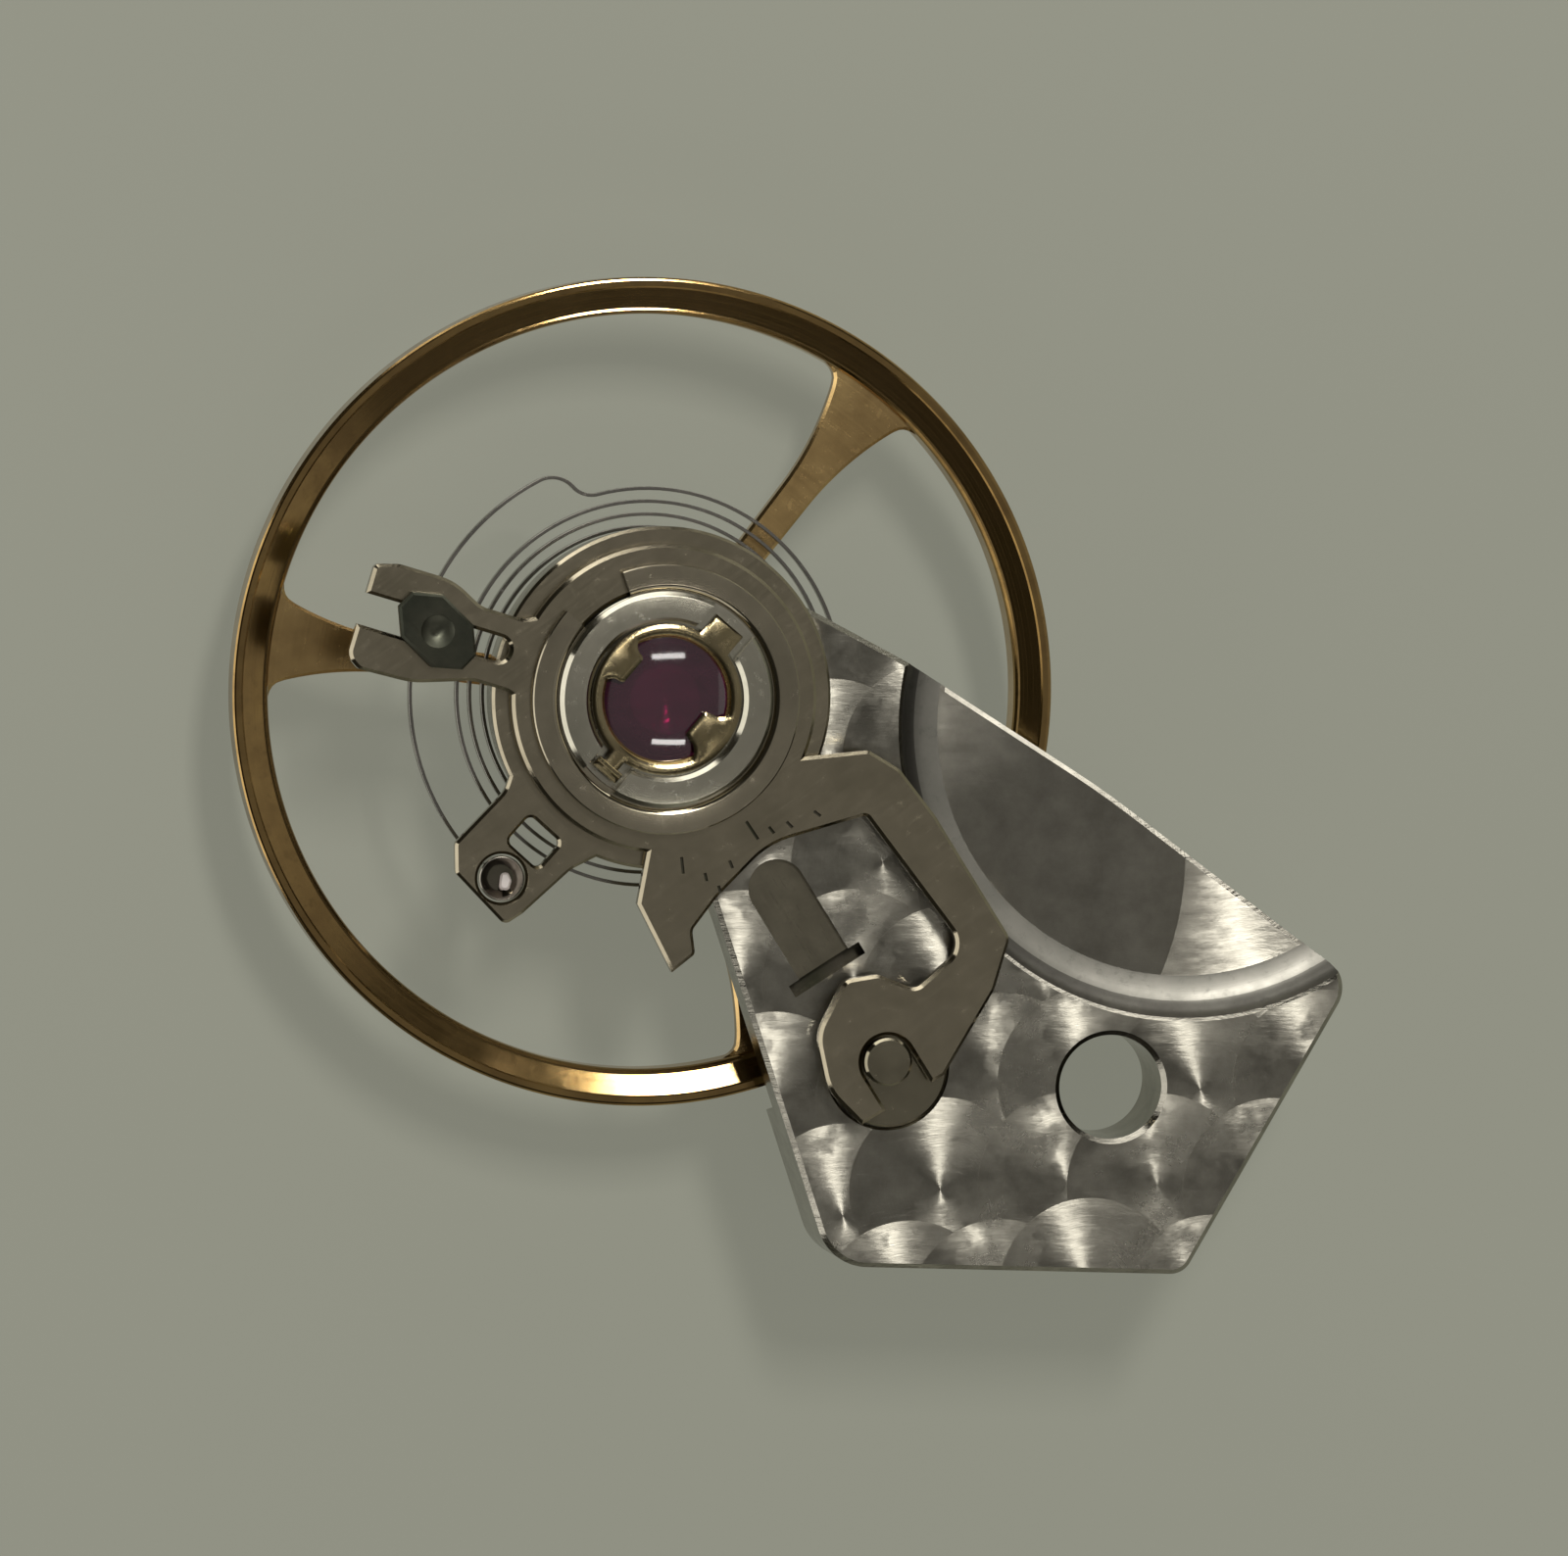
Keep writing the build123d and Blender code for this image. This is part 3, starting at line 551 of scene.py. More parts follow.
def strip_arcs():
    """Arcs of the strip's middle line, as (centre, radius, start, sweep), from the collet."""
    toward = Vector(polar(1, knee_angle))
    pitch = (outer_reach - knee_step - coil_reach) / coil_turns
    shift = (coil_reach - math.sqrt(2 * collet_grip ** 2 - coil_reach ** 2)) / 2
    arcs = [(shift * toward, coil_reach - shift, knee_angle - 90, 90.0)]
    for half in range(2 * coil_turns):
        centre = pitch / 2 * (half % 2) * toward
        arcs.append((centre, coil_reach + half * pitch / 2, knee_angle + 180 * half, 180.0))
    out_bend, back_bend = knee_bends
    out_reach, back_reach = outer_reach - knee_step + out_bend, outer_reach - back_bend
    span = out_bend + back_bend
    cosine = (out_reach ** 2 + back_reach ** 2 - span ** 2) / (2 * out_reach * back_reach)
    end = knee_angle + math.degrees(math.acos(cosine))
    back = Vector(polar(back_reach, end))
    across = back - out_reach * toward
    join = math.degrees(math.atan2(across.y, across.x))
    begin = math.degrees(math.atan2(-across.y, -across.x))
    turn_back = knee_angle + 180
    arcs.append((out_reach * toward, out_bend, turn_back, -((turn_back - join) % 360)))
    arcs.append((back, back_bend, begin, (end - begin) % 360))
    arcs.append((Vector((0, 0)), outer_reach, end, stud_angle - end))
    return arcs


# The strip is built lying straight along X, and then its corners are moved to their wound places.
strip_section = eased([(x, z, 0.004) for x, z in bar(-half_strip, half_strip, 1.53, 1.65)])
wound, straight, travelled = [], [], 0.0
for centre, radius, start, sweep in reversed(strip_arcs()):
    length = radius * math.radians(abs(sweep))
    steps = max(6, int(abs(sweep) / 3))
    for step in range(1 if wound else 0, steps + 1):
        out = Vector(polar(1, start + sweep * (1 - step / steps)))
        side = out if sweep > 0 else -out
        distance = travelled + length * step / steps
        for offset, height in strip_section:
            place = centre + radius * out + offset * side
            wound.append((place.x / per_metre, place.y / per_metre, height / per_metre))
            straight.append((distance / per_metre, offset / per_metre, height / per_metre))
    travelled += length
strip_faces = []
round_strip = len(strip_section)
for first in range(0, len(wound) - round_strip, round_strip):
    for corner in range(round_strip):
        low, high = first + corner, first + (corner + 1) % round_strip
        strip_faces.append((low, high, high + round_strip, low + round_strip))
strip_faces.append(tuple(range(round_strip)))
strip_faces.append(tuple(range(len(wound) - 1, len(wound) - round_strip - 1, -1)))
strip_mesh = bpy.data.meshes.new("flat_hairspring")
strip_mesh.from_pydata(straight, [], strip_faces)
spring = new_object("flat_hairspring", strip_mesh)
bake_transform(spring)
for vertex, place in zip(strip_mesh.vertices, wound):
    vertex.co = place
strip_check = bmesh.new()
strip_check.from_mesh(strip_mesh)
bmesh.ops.recalc_face_normals(strip_check, faces=strip_check.faces)
strip_check.to_mesh(strip_mesh)
strip_check.free()
strip_mesh.shade_smooth()
strip_mesh.set_sharp_from_angle(angle=math.radians(30))
spring_alloy = metal(
    "spring_alloy", (0.33, 0.31, 0.28), (0.23, 0.22, 0.20), satin=0.20, polish=0.2,
    relief=0.2, along=0.1,
)
strip_mesh.materials.append(spring_alloy)
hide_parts("hairspring")


# Balance cock
# The bridge that carries the upper end of the balance: brass, milled, with a thick foot outside the
# wheel, circular graining laid spot over spot on its top, polished bevels and bright plating. Its
# round recess has a rolled edge and is grained in wide sweeps. One screw holds it down.

def rounded(shares, reach, angle=0.0):
    """Outline through rounded corners given as (along, across, radius) shares of one reach."""
    points = []
    count = len(shares)
    for index, (x, y, radius) in enumerate(shares):
        corner = Vector((x, y)) * reach
        radius *= reach
        if radius < 0.05:       # too small to be seen as round
            points.append(tuple(corner))
            continue
        back = (Vector(shares[index - 1][:2]) * reach - corner).normalized()
        ahead = (Vector(shares[(index + 1) % count][:2]) * reach - corner).normalized()
        half = back.angle(ahead) / 2
        middle = corner + (back + ahead).normalized() * radius / math.sin(half)
        begin = corner + back * radius / math.tan(half) - middle
        sweep = begin.angle_signed(corner + ahead * radius / math.tan(half) - middle)
        steps = max(3, int(abs(math.degrees(sweep)) / 5))
        for step in range(steps + 1):
            spoke = begin.copy()
            spoke.rotate(Matrix.Rotation(-sweep * step / steps, 2))
            points.append(tuple(middle + spoke))
    return turned(points, angle)


def carve(target, *cutters, operation="DIFFERENCE"):
    """Cuts closed meshes out of an object, one after the other, or joins them to it."""
    for cutter in cutters:
        tool = shape(cutter)
        change = target.modifiers.new("cut", "BOOLEAN")
        change.operation = operation
        change.solver = "EXACT"
        change.object = tool
        bpy.context.view_layer.update()
        ready = target.evaluated_get(bpy.context.evaluated_depsgraph_get())
        result = bpy.data.meshes.new_from_object(ready)
        target.modifiers.clear()
        target.data = result
        bpy.data.objects.remove(tool)
    return target


spot_reach = 0.86       # radius of a polishing spot, in rows


def spot_group():
    """Node group: keeps the centre of a polishing spot where that spot lies on top."""
    tree = bpy.data.node_groups.new("polishing_spot", "ShaderNodeTree")
    for label, kind in (("Place", "NodeSocketVector"), ("Column", "NodeSocketFloat"),
                        ("Row", "NodeSocketFloat"), ("Before", "NodeSocketVector")):
        tree.interface.new_socket(label, in_out="INPUT", socket_type=kind)
    tree.interface.new_socket("Centre", in_out="OUTPUT", socket_type="NodeSocketVector")
    given = tree.nodes.new("NodeGroupInput").outputs
    parts = add(tree, "SeparateXYZ", {0: given["Place"]})
    row = calc(tree, "ADD", calc(tree, "FLOOR", parts.outputs[1]), given["Row"])
    shift = calc(tree, "MULTIPLY", calc(tree, "PINGPONG", row, 1.0), 0.5)
    column = calc(tree, "FLOOR", calc(tree, "SUBTRACT", parts.outputs[0], shift))
    column = calc(tree, "ADD", column, given["Column"])
    cell = add(tree, "CombineXYZ", {0: column, 1: row, 2: 3.0})
    chance = add(tree, "TexWhiteNoise", {0: cell.outputs[0]}, noise_dimensions="3D").outputs[1]
    chance = vector(tree, "MULTIPLY", chance, (0.34, 0.34, 0.0))
    x = calc(tree, "ADD", calc(tree, "ADD", column, shift), 0.33)
    centre = add(tree, "CombineXYZ", {0: x, 1: calc(tree, "ADD", row, 0.33), 2: 0.0})
    centre = vector(tree, "ADD", centre.outputs[0], chance)
    level = vector(tree, "MULTIPLY", given["Place"], (1.0, 1.0, 0.0))
    near = calc(tree, "LESS_THAN", vector(tree, "DISTANCE", level, centre), spot_reach)
    chosen = add(tree, "Mix", {0: near, 4: given["Before"], 5: centre}, data_type="VECTOR")
    tree.links.new(chosen.outputs[1], tree.nodes.new("NodeGroupOutput").inputs[0])
    return tree


grain_spot = spot_group()


def spotted_metal(name, colour, shade, pitch, satin, seed, wear, spots=()):
    """Plated metal whose flats carry rows of overlapping grained spots, or a few wide ones.

    Pitch is the distance of the rows, or the unit of the wide spots' size. Wear is how much of the
    graining is rubbed off, from none to most.
    """
    made, tree, surface, place = start_material(name)
    flat = flat_share(tree)
    sheared = vector(tree, "ADD", place, (seed, seed * 0.7, 0.0))
    scaled = vector(tree, "MULTIPLY", sheared, (1 / pitch, 1 / pitch, 1.0))
    centre = scaled
    rows = () if spots else (1, 0, -1)
    for row in rows:
        for column in (-1, 0, 1):
            spot = tree.nodes.new("ShaderNodeGroup")
            spot.node_tree = grain_spot
            spot.inputs["Column"].default_value = column
            spot.inputs["Row"].default_value = row
            tree.links.new(scaled, spot.inputs["Place"])
            tree.links.new(centre, spot.inputs["Before"])
            centre = spot.outputs[0]
    level = vector(tree, "MULTIPLY", scaled, (1.0, 1.0, 0.0))
    for x, y, size in spots:
        middle = ((x + seed) / pitch, (y + seed * 0.7) / pitch, 0.0)
        near = calc(tree, "LESS_THAN", vector(tree, "DISTANCE", level, middle), size / pitch)
        centre = add(tree, "Mix", {0: near, 4: centre, 5: middle}, data_type="VECTOR").outputs[1]
    spoke = vector(tree, "SUBTRACT", level, centre)
    reach = vector(tree, "LENGTH", spoke)
    chance = add(tree, "TexWhiteNoise", {0: centre}, noise_dimensions="3D").outputs[0]
    torn = noise(tree, vector(tree, "MULTIPLY", place, (2.2, 11.0, 1.0)), 1.0, 4.0, 0.7)
    swerve = calc(tree, "MULTIPLY_ADD", chance, 0.24, -0.12)
    swerve = calc(tree, "ADD", swerve, calc(tree, "MULTIPLY_ADD", torn, 0.44, -0.22))
    lay = add(tree, "VectorRotate", {0: spoke, "Angle": swerve}, rotation_type="Z_AXIS").outputs[0]
    ring = add(tree, "CombineXYZ", {0: calc(tree, "MULTIPLY", reach, 46.0),
                                    1: calc(tree, "MULTIPLY", chance, 90.0), 2: 0.0})
    lines = noise(tree, ring.outputs[0], 1.0, 4.0, 0.7)
    waver = noise(tree, place, 2.3, 5.0, 0.65)
    patch = noise(tree, vector(tree, "ADD", place, (0.0, 0.0, seed)), 1.15, 4.0, 0.6)
    fresh = spread(tree, patch, 0.0, 1.0, wear, wear + 0.22)
    rim = spread(tree, reach, 0.0, 1.0, 0.80, spot_reach)
    tone = blend_colour(tree, spread(tree, waver, 0.0, 1.0, 0.3, 0.7), colour, shade)
    tone = blend_colour(tree, calc(tree, "MULTIPLY", rim, 0.2), tone, (0.30, 0.28, 0.23))
    worked = calc(tree, "MULTIPLY_ADD", lines, 0.1, satin - 0.17)
    worked = calc(tree, "MULTIPLY_ADD", fresh, 0.12, worked)
    polished = spread(tree, waver, 0.08, 0.2, 0.3, 0.7)
    rough = add(tree, "Mix", {0: flat, 2: polished, 3: worked}).outputs[0]
    height = calc(tree, "MULTIPLY_ADD", rim, 0.5, lines)
    height = calc(tree, "MULTIPLY_ADD", torn, 1.6, height)
    bump = add(tree, "Bump", {"Strength": 0.8, "Distance": 3e-6, "Height": height})
    feed(tree, surface, {
        "Base Color": tone,
        "Roughness": rough,
        "Anisotropic": calc(tree, "MULTIPLY", calc(tree, "MULTIPLY", flat, fresh), 0.96),
        "Tangent": in_world(tree, lay),
        "Normal": bump.outputs[0],
    })
    return made


cock_shares = (
    (0.150, 0.140, 0.0), (0.345, 0.035, 0.9), (0.600, -0.130, 1.2), (0.932, -0.383, 0.045),
    (0.703, -0.772, 0.03), (0.228, -0.752, 0.07), (0.062, -0.240, 0.0), (-0.060, -0.100, 0.0),
)
foot_bottom, arm_bottom, cock_top = 1.35, 1.95, 2.55
recess_place, recess_floor, recess_wall = polar(6.51, -3.5), 2.25, 2.31
hole_place = polar(7.3, -40.8)
tail_angle = -58.3      # the way to the eccentric screw
eccentric_reach = 5.27
eccentric_place = polar(eccentric_reach, tail_angle)
pin_places = polar(8.3, -29.5), polar(6.85, -65.5)
pin_reach, pin_shoulder, pin_end = 0.18, 1.41, 1.8
collar_hole, disc_hole, disc_floor, stem_hole = 1.05, 0.73, 2.35, 0.27
groove_floor, slot_floor = 2.49, 2.35
beyond = 0.2            # how far the cutters stand past the faces that they open
below, above = foot_bottom - beyond, cock_top + beyond


def disc(reach, bottom, top, lower=0, upper=0):
    """Profile of a round pin or disc, with the ease of its lower and its upper edge."""
    return [(0, bottom), (reach, bottom, lower), (reach, top, upper), (0, top)]


def open_top(reach, sink):
    """Upper end of a hole's profile, countersunk at 45 degrees."""
    return [(reach, cock_top - sink), (reach + sink + beyond, above), (0, above)]


groove = turned(bar(2.71, 3.95, -0.35, 0.35), tail_angle)
groove_end = circle(0.35, polar(2.71, tail_angle))
slot = turned(bar(3.79, 3.95, -0.5, 0.5), tail_angle)
cock_outlines = [rounded(cock_shares, 9.15), circle(2.0)]
cock = shape(
    plate(cock_outlines, [], foot_bottom, recess_floor, upper=0.055, lower=0.03, fall=0.04)
)
carve(
    cock,
    plate(cock_outlines, [circle(3.0, recess_place)], 2.15, cock_top, upper=0.06),
    operation="UNION",
)
carve(
    cock,
    # room for the wheel under the arm
    lathe([(0, 1.0), (5.3, 1.0), (5.3, arm_bottom - 0.03), (5.27, arm_bottom), (0, arm_bottom)],
          steps=360),
    # recess with its rolled edge
    lathe([(0, recess_floor), (3.06, recess_floor), (3.14, 2.255), (3.26, 2.28), (3.36, 2.315),
           (3.45, 2.36), (3.51, 2.43), (3.55, 2.52), (3.6, 2.555), (3.9, 2.85), (0, 2.85)],
          recess_place, steps=360),
    # screw hole, countersunk at both ends
    lathe([(0, below), (0.89, below), (0.63, foot_bottom + 0.06)] + open_top(0.63, 0.06),
          hole_place),
    # groove with a round end, and the slot across its other end
    plate([groove, groove_end], [], groove_floor, above),
    plate([slot], [], slot_floor, above),
    # bore for the setting block
    lathe([(0, arm_bottom - beyond), (1.08, arm_bottom - beyond), (1.08, arm_bottom),
           (collar_hole, arm_bottom + 0.03)] + open_top(collar_hole, 0.03)),
    # counterbore of the eccentric screw and the bore of its stem
    lathe([(0, disc_floor), (disc_hole, disc_floor)] + open_top(disc_hole, 0.03),
          eccentric_place),
    lathe(disc(stem_hole, 2.07, 2.4), eccentric_place, 90),
)
for pin_place in pin_places:
    carve(cock, lathe([(0, below), (0.42, below), (0.42, pin_shoulder), (pin_reach, pin_shoulder),
                       (pin_reach, pin_end), (0, pin_end)], pin_place, 90))
plated = spotted_metal(
    "plated_bridge", (0.41, 0.39, 0.335), (0.25, 0.238, 0.203), pitch=1.3, satin=0.34,
    seed=0.4, wear=0.30,
)
plated_floor = spotted_metal(
    "plated_recess_floor", (0.42, 0.40, 0.345), (0.29, 0.275, 0.235), pitch=4.0, satin=0.33,
    seed=0.0, wear=0.0, spots=((6.75, -1.05, 9.0), (2.9, -2.0, 3.6)),
)
# Bare milled metal on the groove's floor; its dark colour is partly the metal's own and partly
# painted shade.
milled = metal(
    "milled_groove_painted_shade", (0.22, 0.20, 0.15), (0.15, 0.135, 0.10), satin=0.30, polish=0.2,
    grain="straight", angle=-58, relief=0.5, along=0.3,
)
# Near black: painted shade on the floor of the slot across the groove, on the floor of the stud's
# hollow and on the floors of the index's engraved lines.
black_shade = metal(
    "painted_shade_black", (0.05, 0.045, 0.035), (0.03, 0.03, 0.02), satin=0.45, polish=0.35,
    grain="straight", relief=0.5, along=0.3,
)
# The recess's turned wall in two tones of one metal: a lighter band low down, and above it a band
# painted darker as shade.
coved, shaded = [
    metal(name, colour, shade, 0.5, 0.42, centre=recess_place, relief=0.5, along=0.3)
    for name, colour, shade in (
        ("turned_recess_edge", (0.27, 0.26, 0.23), (0.21, 0.205, 0.18)),
        ("turned_recess_wall_painted_shade", (0.13, 0.125, 0.11), (0.09, 0.085, 0.075)),
    )
]
hand_in(cock, "grained_bridge", "balance_cock", "cock", "plated_bridge", plated, plated_floor,
        milled, black_shade, coved, shaded)
# Faces that take other finishes: the recess's lower wall band, its upper band painted darker as
# shade, the recess's floor, the groove's floor, and the slot's floor painted black as shade.
for finish, middle, reach, low, high in (
    (4, recess_place, 3.56, recess_floor, recess_wall),
    (5, recess_place, 3.56, recess_wall, 2.5),
    (1, recess_place, 3.07, recess_floor - 0.01, recess_floor + 0.01),
    (2, polar(3.5, tail_angle), 1.3, groove_floor - 0.01, groove_floor + 0.01),
    (3, polar(3.87, tail_angle), 0.6, slot_floor - 0.01, slot_floor + 0.01),
):
    refinish(cock, finish, lambda x, y, z: math.dist((x, y), middle) < reach and low < z < high,
             least_up=0.3)


# Steady pins
# Two brass pins driven into the cock's foot. They place the cock on the main plate before its
# screw is tightened.

pins = shape(*[
    lathe([(0, 0.75), (0.35, 0.75, 0.07), (0.35, pin_shoulder, 0.02), (pin_reach, pin_shoulder),
           (pin_reach, pin_end, 0.02), (0, pin_end)], pin_place, 96)
    for pin_place in pin_places
])
hand_in(pins, "two_steady_pins", "steady_pins", "cock", "pin_brass", pin_brass)


# Shock setting block
# A turned steel collar riveted in the cock. Its bore is a conical seat for the jewels, its outside
# carries the two rings, and two notches hold the lyre spring.

lyre_angle = 49         # the front notch; the hinge lies opposite
collar_reach, groove_reach = 1.29, 1.22
groove_bottom, groove_top = 2.93, 3.0
cone_bottom, ledge, shoulder = 2.58, 2.88, 2.93         # steps of the seat for the jewels
setting_steel = metal(
    "setting_steel", (0.54, 0.51, 0.42), (0.44, 0.42, 0.34), satin=0.20, polish=0.08,
    relief=0.12, spotted=0.2, along=0.2,
)
block = shape(lathe([
    (0.27, arm_bottom, 0.02), (collar_hole, arm_bottom, 0.02), (collar_hole, cock_top),
    (collar_reach, cock_top, 0.01), (collar_reach, groove_bottom, 0.01),
    (groove_reach, groove_bottom), (groove_reach, groove_top), (collar_reach, groove_top, 0.01),
    (collar_reach, 3.07), (1.24, 3.118), (1.23, 3.12), (0.98, 3.12), (0.93, 3.07),
    (0.93, shoulder), (0.85, shoulder), (0.85, ledge), (0.8, ledge, 0.01), (0.61, cone_bottom),
    (0.6, 2.25), (0.27, 2.25, 0.02),
], steps=300))
carve(
    block,
    plate([turned(bar(0.73, 1.49, -0.31, 0.31), lyre_angle)], [], 3.01, 3.32),
    plate([turned(bar(0.73, 1.49, -0.23, 0.23), lyre_angle + 180)], [], 2.89, 3.32),
)
hand_in(block, "setting_collar", "shock_block", "cock", "setting_steel", setting_steel)


# Jewel setting
# Gilt brass bush with a conical foot that slides back into its seat after a shock. The hole jewel
# is pressed in it and the cap jewel lies on its ledge.

gilt = metal(
    "gilt_setting", (0.80, 0.60, 0.28), (0.62, 0.44, 0.19), satin=0.26, polish=0.14,
)
stone_reach, stone_bottom, cap_reach = 0.4, 2.7, 0.74
setting = shape(lathe([
    (0.35, cone_bottom, 0.01), (0.6, cone_bottom, 0.015), (0.79, ledge), (0.84, ledge, 0.006),
    (0.84, shoulder, 0.012), (0.75, shoulder, 0.01), (0.75, ledge), (stone_reach, ledge, 0.01),
    (stone_reach, stone_bottom), (0.35, stone_bottom, 0.01),
]))
hand_in(setting, "conical_jewel_bush", "jewel_setting", "cock", "gilt_spring", gilt)


# Hole jewel
# Pierced ruby disc in which the upper pivot turns, with a rounded bore and a small oil cup.

stone_ruby = ruby("stone_ruby", (0.36, 0.04, 0.16), (0.23, 0.02, 0.10), clear=0.9)
pierced = shape(lathe([
    (0.066, stone_bottom), (stone_reach, stone_bottom, 0.015), (stone_reach, 2.84, 0.015),
    (0.24, 2.84), (0.21, 2.826), (0.15, 2.808), (0.09, 2.797), (0.07, 2.79), (0.061, 2.76),
    (0.06, 2.745), (0.061, 2.72),
], steps=120))
hand_in(pierced, "pierced_ruby_disc", "hole_jewel", "cock", "ruby", stone_ruby)


# Cap jewel
# Polished ruby disc with a domed top, over the end of the upper pivot. A drop of oil stands between
# the two jewels and makes the middle look dark.

def dome(radius, edge, rise, rings=16):
    """Profile of a shallow dome from its edge to its top."""
    ball = (radius ** 2 + rise ** 2) / (2 * rise)
    profile = []
    for ring in range(rings + 1):
        reach = radius * (1 - ring / rings)
        height = edge + rise - ball + math.sqrt(ball ** 2 - reach ** 2)
        profile.append((reach, height))
    return profile


cap_top = dome(cap_reach, edge=2.97, rise=0.08)
cap = shape(lathe([(0, ledge), (0.72, ledge), (cap_reach, 2.9)] + cap_top))
hand_in(cap, "domed_ruby_disc", "cap_jewel", "cock", "ruby", stone_ruby)


# Lyre spring
# Thin gilt strip bent round the cap jewel: its hinge end is rolled and lies in the back notch, its
# front pad lies in the front notch, and two tongues press on the jewel. Stamped, hardened and gilt.

lyre_gilt = metal(
    "gilt_spring", (0.38, 0.32, 0.19), (0.25, 0.20, 0.11), satin=0.22, polish=0.10,
    grain="straight", angle=lyre_angle + 90, relief=0.9,
)
short_tongue = rounded(((-0.45, 0.8, 0), (-0.2, 0.66, 0.15), (-0.2, 0.53, 0.05),
                        (0.2, 0.53, 0.05), (0.2, 0.66, 0.15), (0.45, 0.8, 0)), 1.0)
long_tongue = rounded(((-0.48, 0.8, 0), (-0.25, 0.62, 0.12), (-0.19, 0.44, 0.05),
                       (0.17, 0.44, 0.05), (0.2, 0.62, 0.2), (0.45, 0.8, 0)), 1.0, 180)
openings = outline_loops([circle(0.78)], [short_tongue, long_tongue])
pad, neck, hinge_end = (
    bar(0.84, 1.16, -0.21, 0.21), bar(-1.12, -0.84, -0.1, 0.1), bar(-1.16, -1.06, -0.18, 0.18)
)
barrel = lathe(disc(0.04, -0.18, 0.18, 0.01, 0.01), steps=32)
barrel.transform(Matrix.Rotation(math.radians(90), 4, "X"))
bmesh.ops.translate(barrel, verts=barrel.verts, vec=(-1.06, 0, 3.055))
barrel.transform(Matrix.Rotation(math.radians(lyre_angle), 4, "Z"))
lyre = shape(
    plate([turned(outline, lyre_angle) for outline in (circle(0.9), pad, neck, hinge_end)],
          [turned(opening, lyre_angle) for opening in openings],
          3.03, 3.08, upper=0.05, lower=0.006, fall=0.02),
    barrel,
)
hand_in(lyre, "lyre_shaped_spring", "lyre_spring", "lyre", "gilt_spring", lyre_gilt)


# Stud carrier
# Flat steel ring round the collar of the setting, with one arm that is pierced for lightness and
# grips the stud. Stamped, flat ground, its edges bevelled and polished.

flat_ground = dict(satin=0.18, polish=0.07, relief=0.3, along=0.2)
polished_steel = metal(
    "polished_steel", (0.38, 0.335, 0.245), (0.305, 0.27, 0.195), grain="straight", angle=35,
    **flat_ground,
)
carrier_shares = (
    (0.520, -0.260, 0.0), (0.640, -0.205, 0.12), (0.905, -0.215, 0.03), (0.985, -0.140, 0.03),
    (1.006, 0.125, 0.03), (0.930, 0.146, 0.02), (0.690, 0.172, 0.1), (0.520, 0.240, 0.0),
)
play = 0.02             # between pieces that turn on each other
carrier_bottom, carrier_top = 2.57, 2.72
stud_place, stud_reach = polar(outer_reach, stud_angle), 0.27
collar_bore = circle(collar_reach + play)
window = rounded(((-0.21, -0.25, 0.08), (0.21, -0.25, 0.08), (0.21, 0.25, 0.08),
                  (-0.21, 0.25, 0.08)), 1.0)
window = turned(window, stud_angle, polar(2.3, stud_angle))
carrier = shape(plate(
    [circle(2.05, steps=240), rounded(carrier_shares, 3.25, stud_angle)],
    [collar_bore, circle(stud_reach + play, stud_place), window],
    carrier_bottom, carrier_top, upper=0.035, lower=0.015,
))
hand_in(carrier, "ring_with_stud_arm", "stud_carrier", "stud_carrier", "polished_steel",
        polished_steel)


# Hairspring stud
# Bright turned steel post in the hole of that arm, its head drilled hollow. The outer end of the
# hairspring is cemented in the slot of its foot. A pale bead in the hollow is a painted highlight,
# and the hollow's floor is painted black as shade.

stud_steel = metal(
    "stud_steel", (0.40, 0.37, 0.32), (0.30, 0.28, 0.24), satin=0.22, polish=0.10,
    centre=stud_place, relief=0.4,
)
hollow_floor = 2.6
stud = shape(lathe([
    (0, 1.46), (0.19, 1.46, 0.02), (0.19, 2.58), (stud_reach, 2.58, 0.01),
    (stud_reach, 2.728, 0.01), (0.25, 2.73), (0.2, 2.65), (0.155, hollow_floor), (0, hollow_floor),
], stud_place, 96))
carve(stud, plate([turned(bar(-0.03, 0.03, -0.4, 0.4), stud_angle, stud_place)], [], 1.26, 1.67))
bead = plate([rounded(((-0.07, -0.10, 0.05), (0.05, -0.12, 0.05), (0.09, 0.0, 0.05),
                       (0.05, 0.11, 0.05), (-0.04, 0.09, 0.05)), 1.0)], [], -0.09, 0.0, 0.025)
bead.transform(Matrix.Rotation(math.radians(-14), 4, "X"))
bmesh.ops.translate(bead, verts=bead.verts,
                    vec=(stud_place[0] + 0.04, stud_place[1] - 0.03, hollow_floor + 0.07))
carve(stud, bead, operation="UNION")
# A pale bead in the stud's hollow: its pale colour is a painted highlight.
highlight_bead = metal(
    "pale_bead_painted_highlight", (0.50, 0.44, 0.42), (0.36, 0.33, 0.30), satin=0.45, polish=0.35,
    grain="straight", relief=1.5, metallic=0.0,
)
hand_in(stud, "slotted_stud", "hairspring_stud", "stud_carrier", "stud_steel", stud_steel, black_shade,
        highlight_bead)
# The bead takes the pale colour, a painted highlight, and the hollow's floor is painted black as
# shade.
refinish(stud, 2, lambda x, y, z: math.dist((x, y), stud_place) < 0.15 and z > 2.3)
refinish(stud, 1, lambda x, y, z: math.dist((x, y), stud_place) < 0.15
         and abs(z - hollow_floor) < 0.002)


# Regulator index
# Flat steel lever that turns on the collar: two prongs for the curb pin block on one side and a
# forked tail for the eccentric screw on the other, with engraved graduation lines. Ground flat, all
# upper edges bevelled and polished.

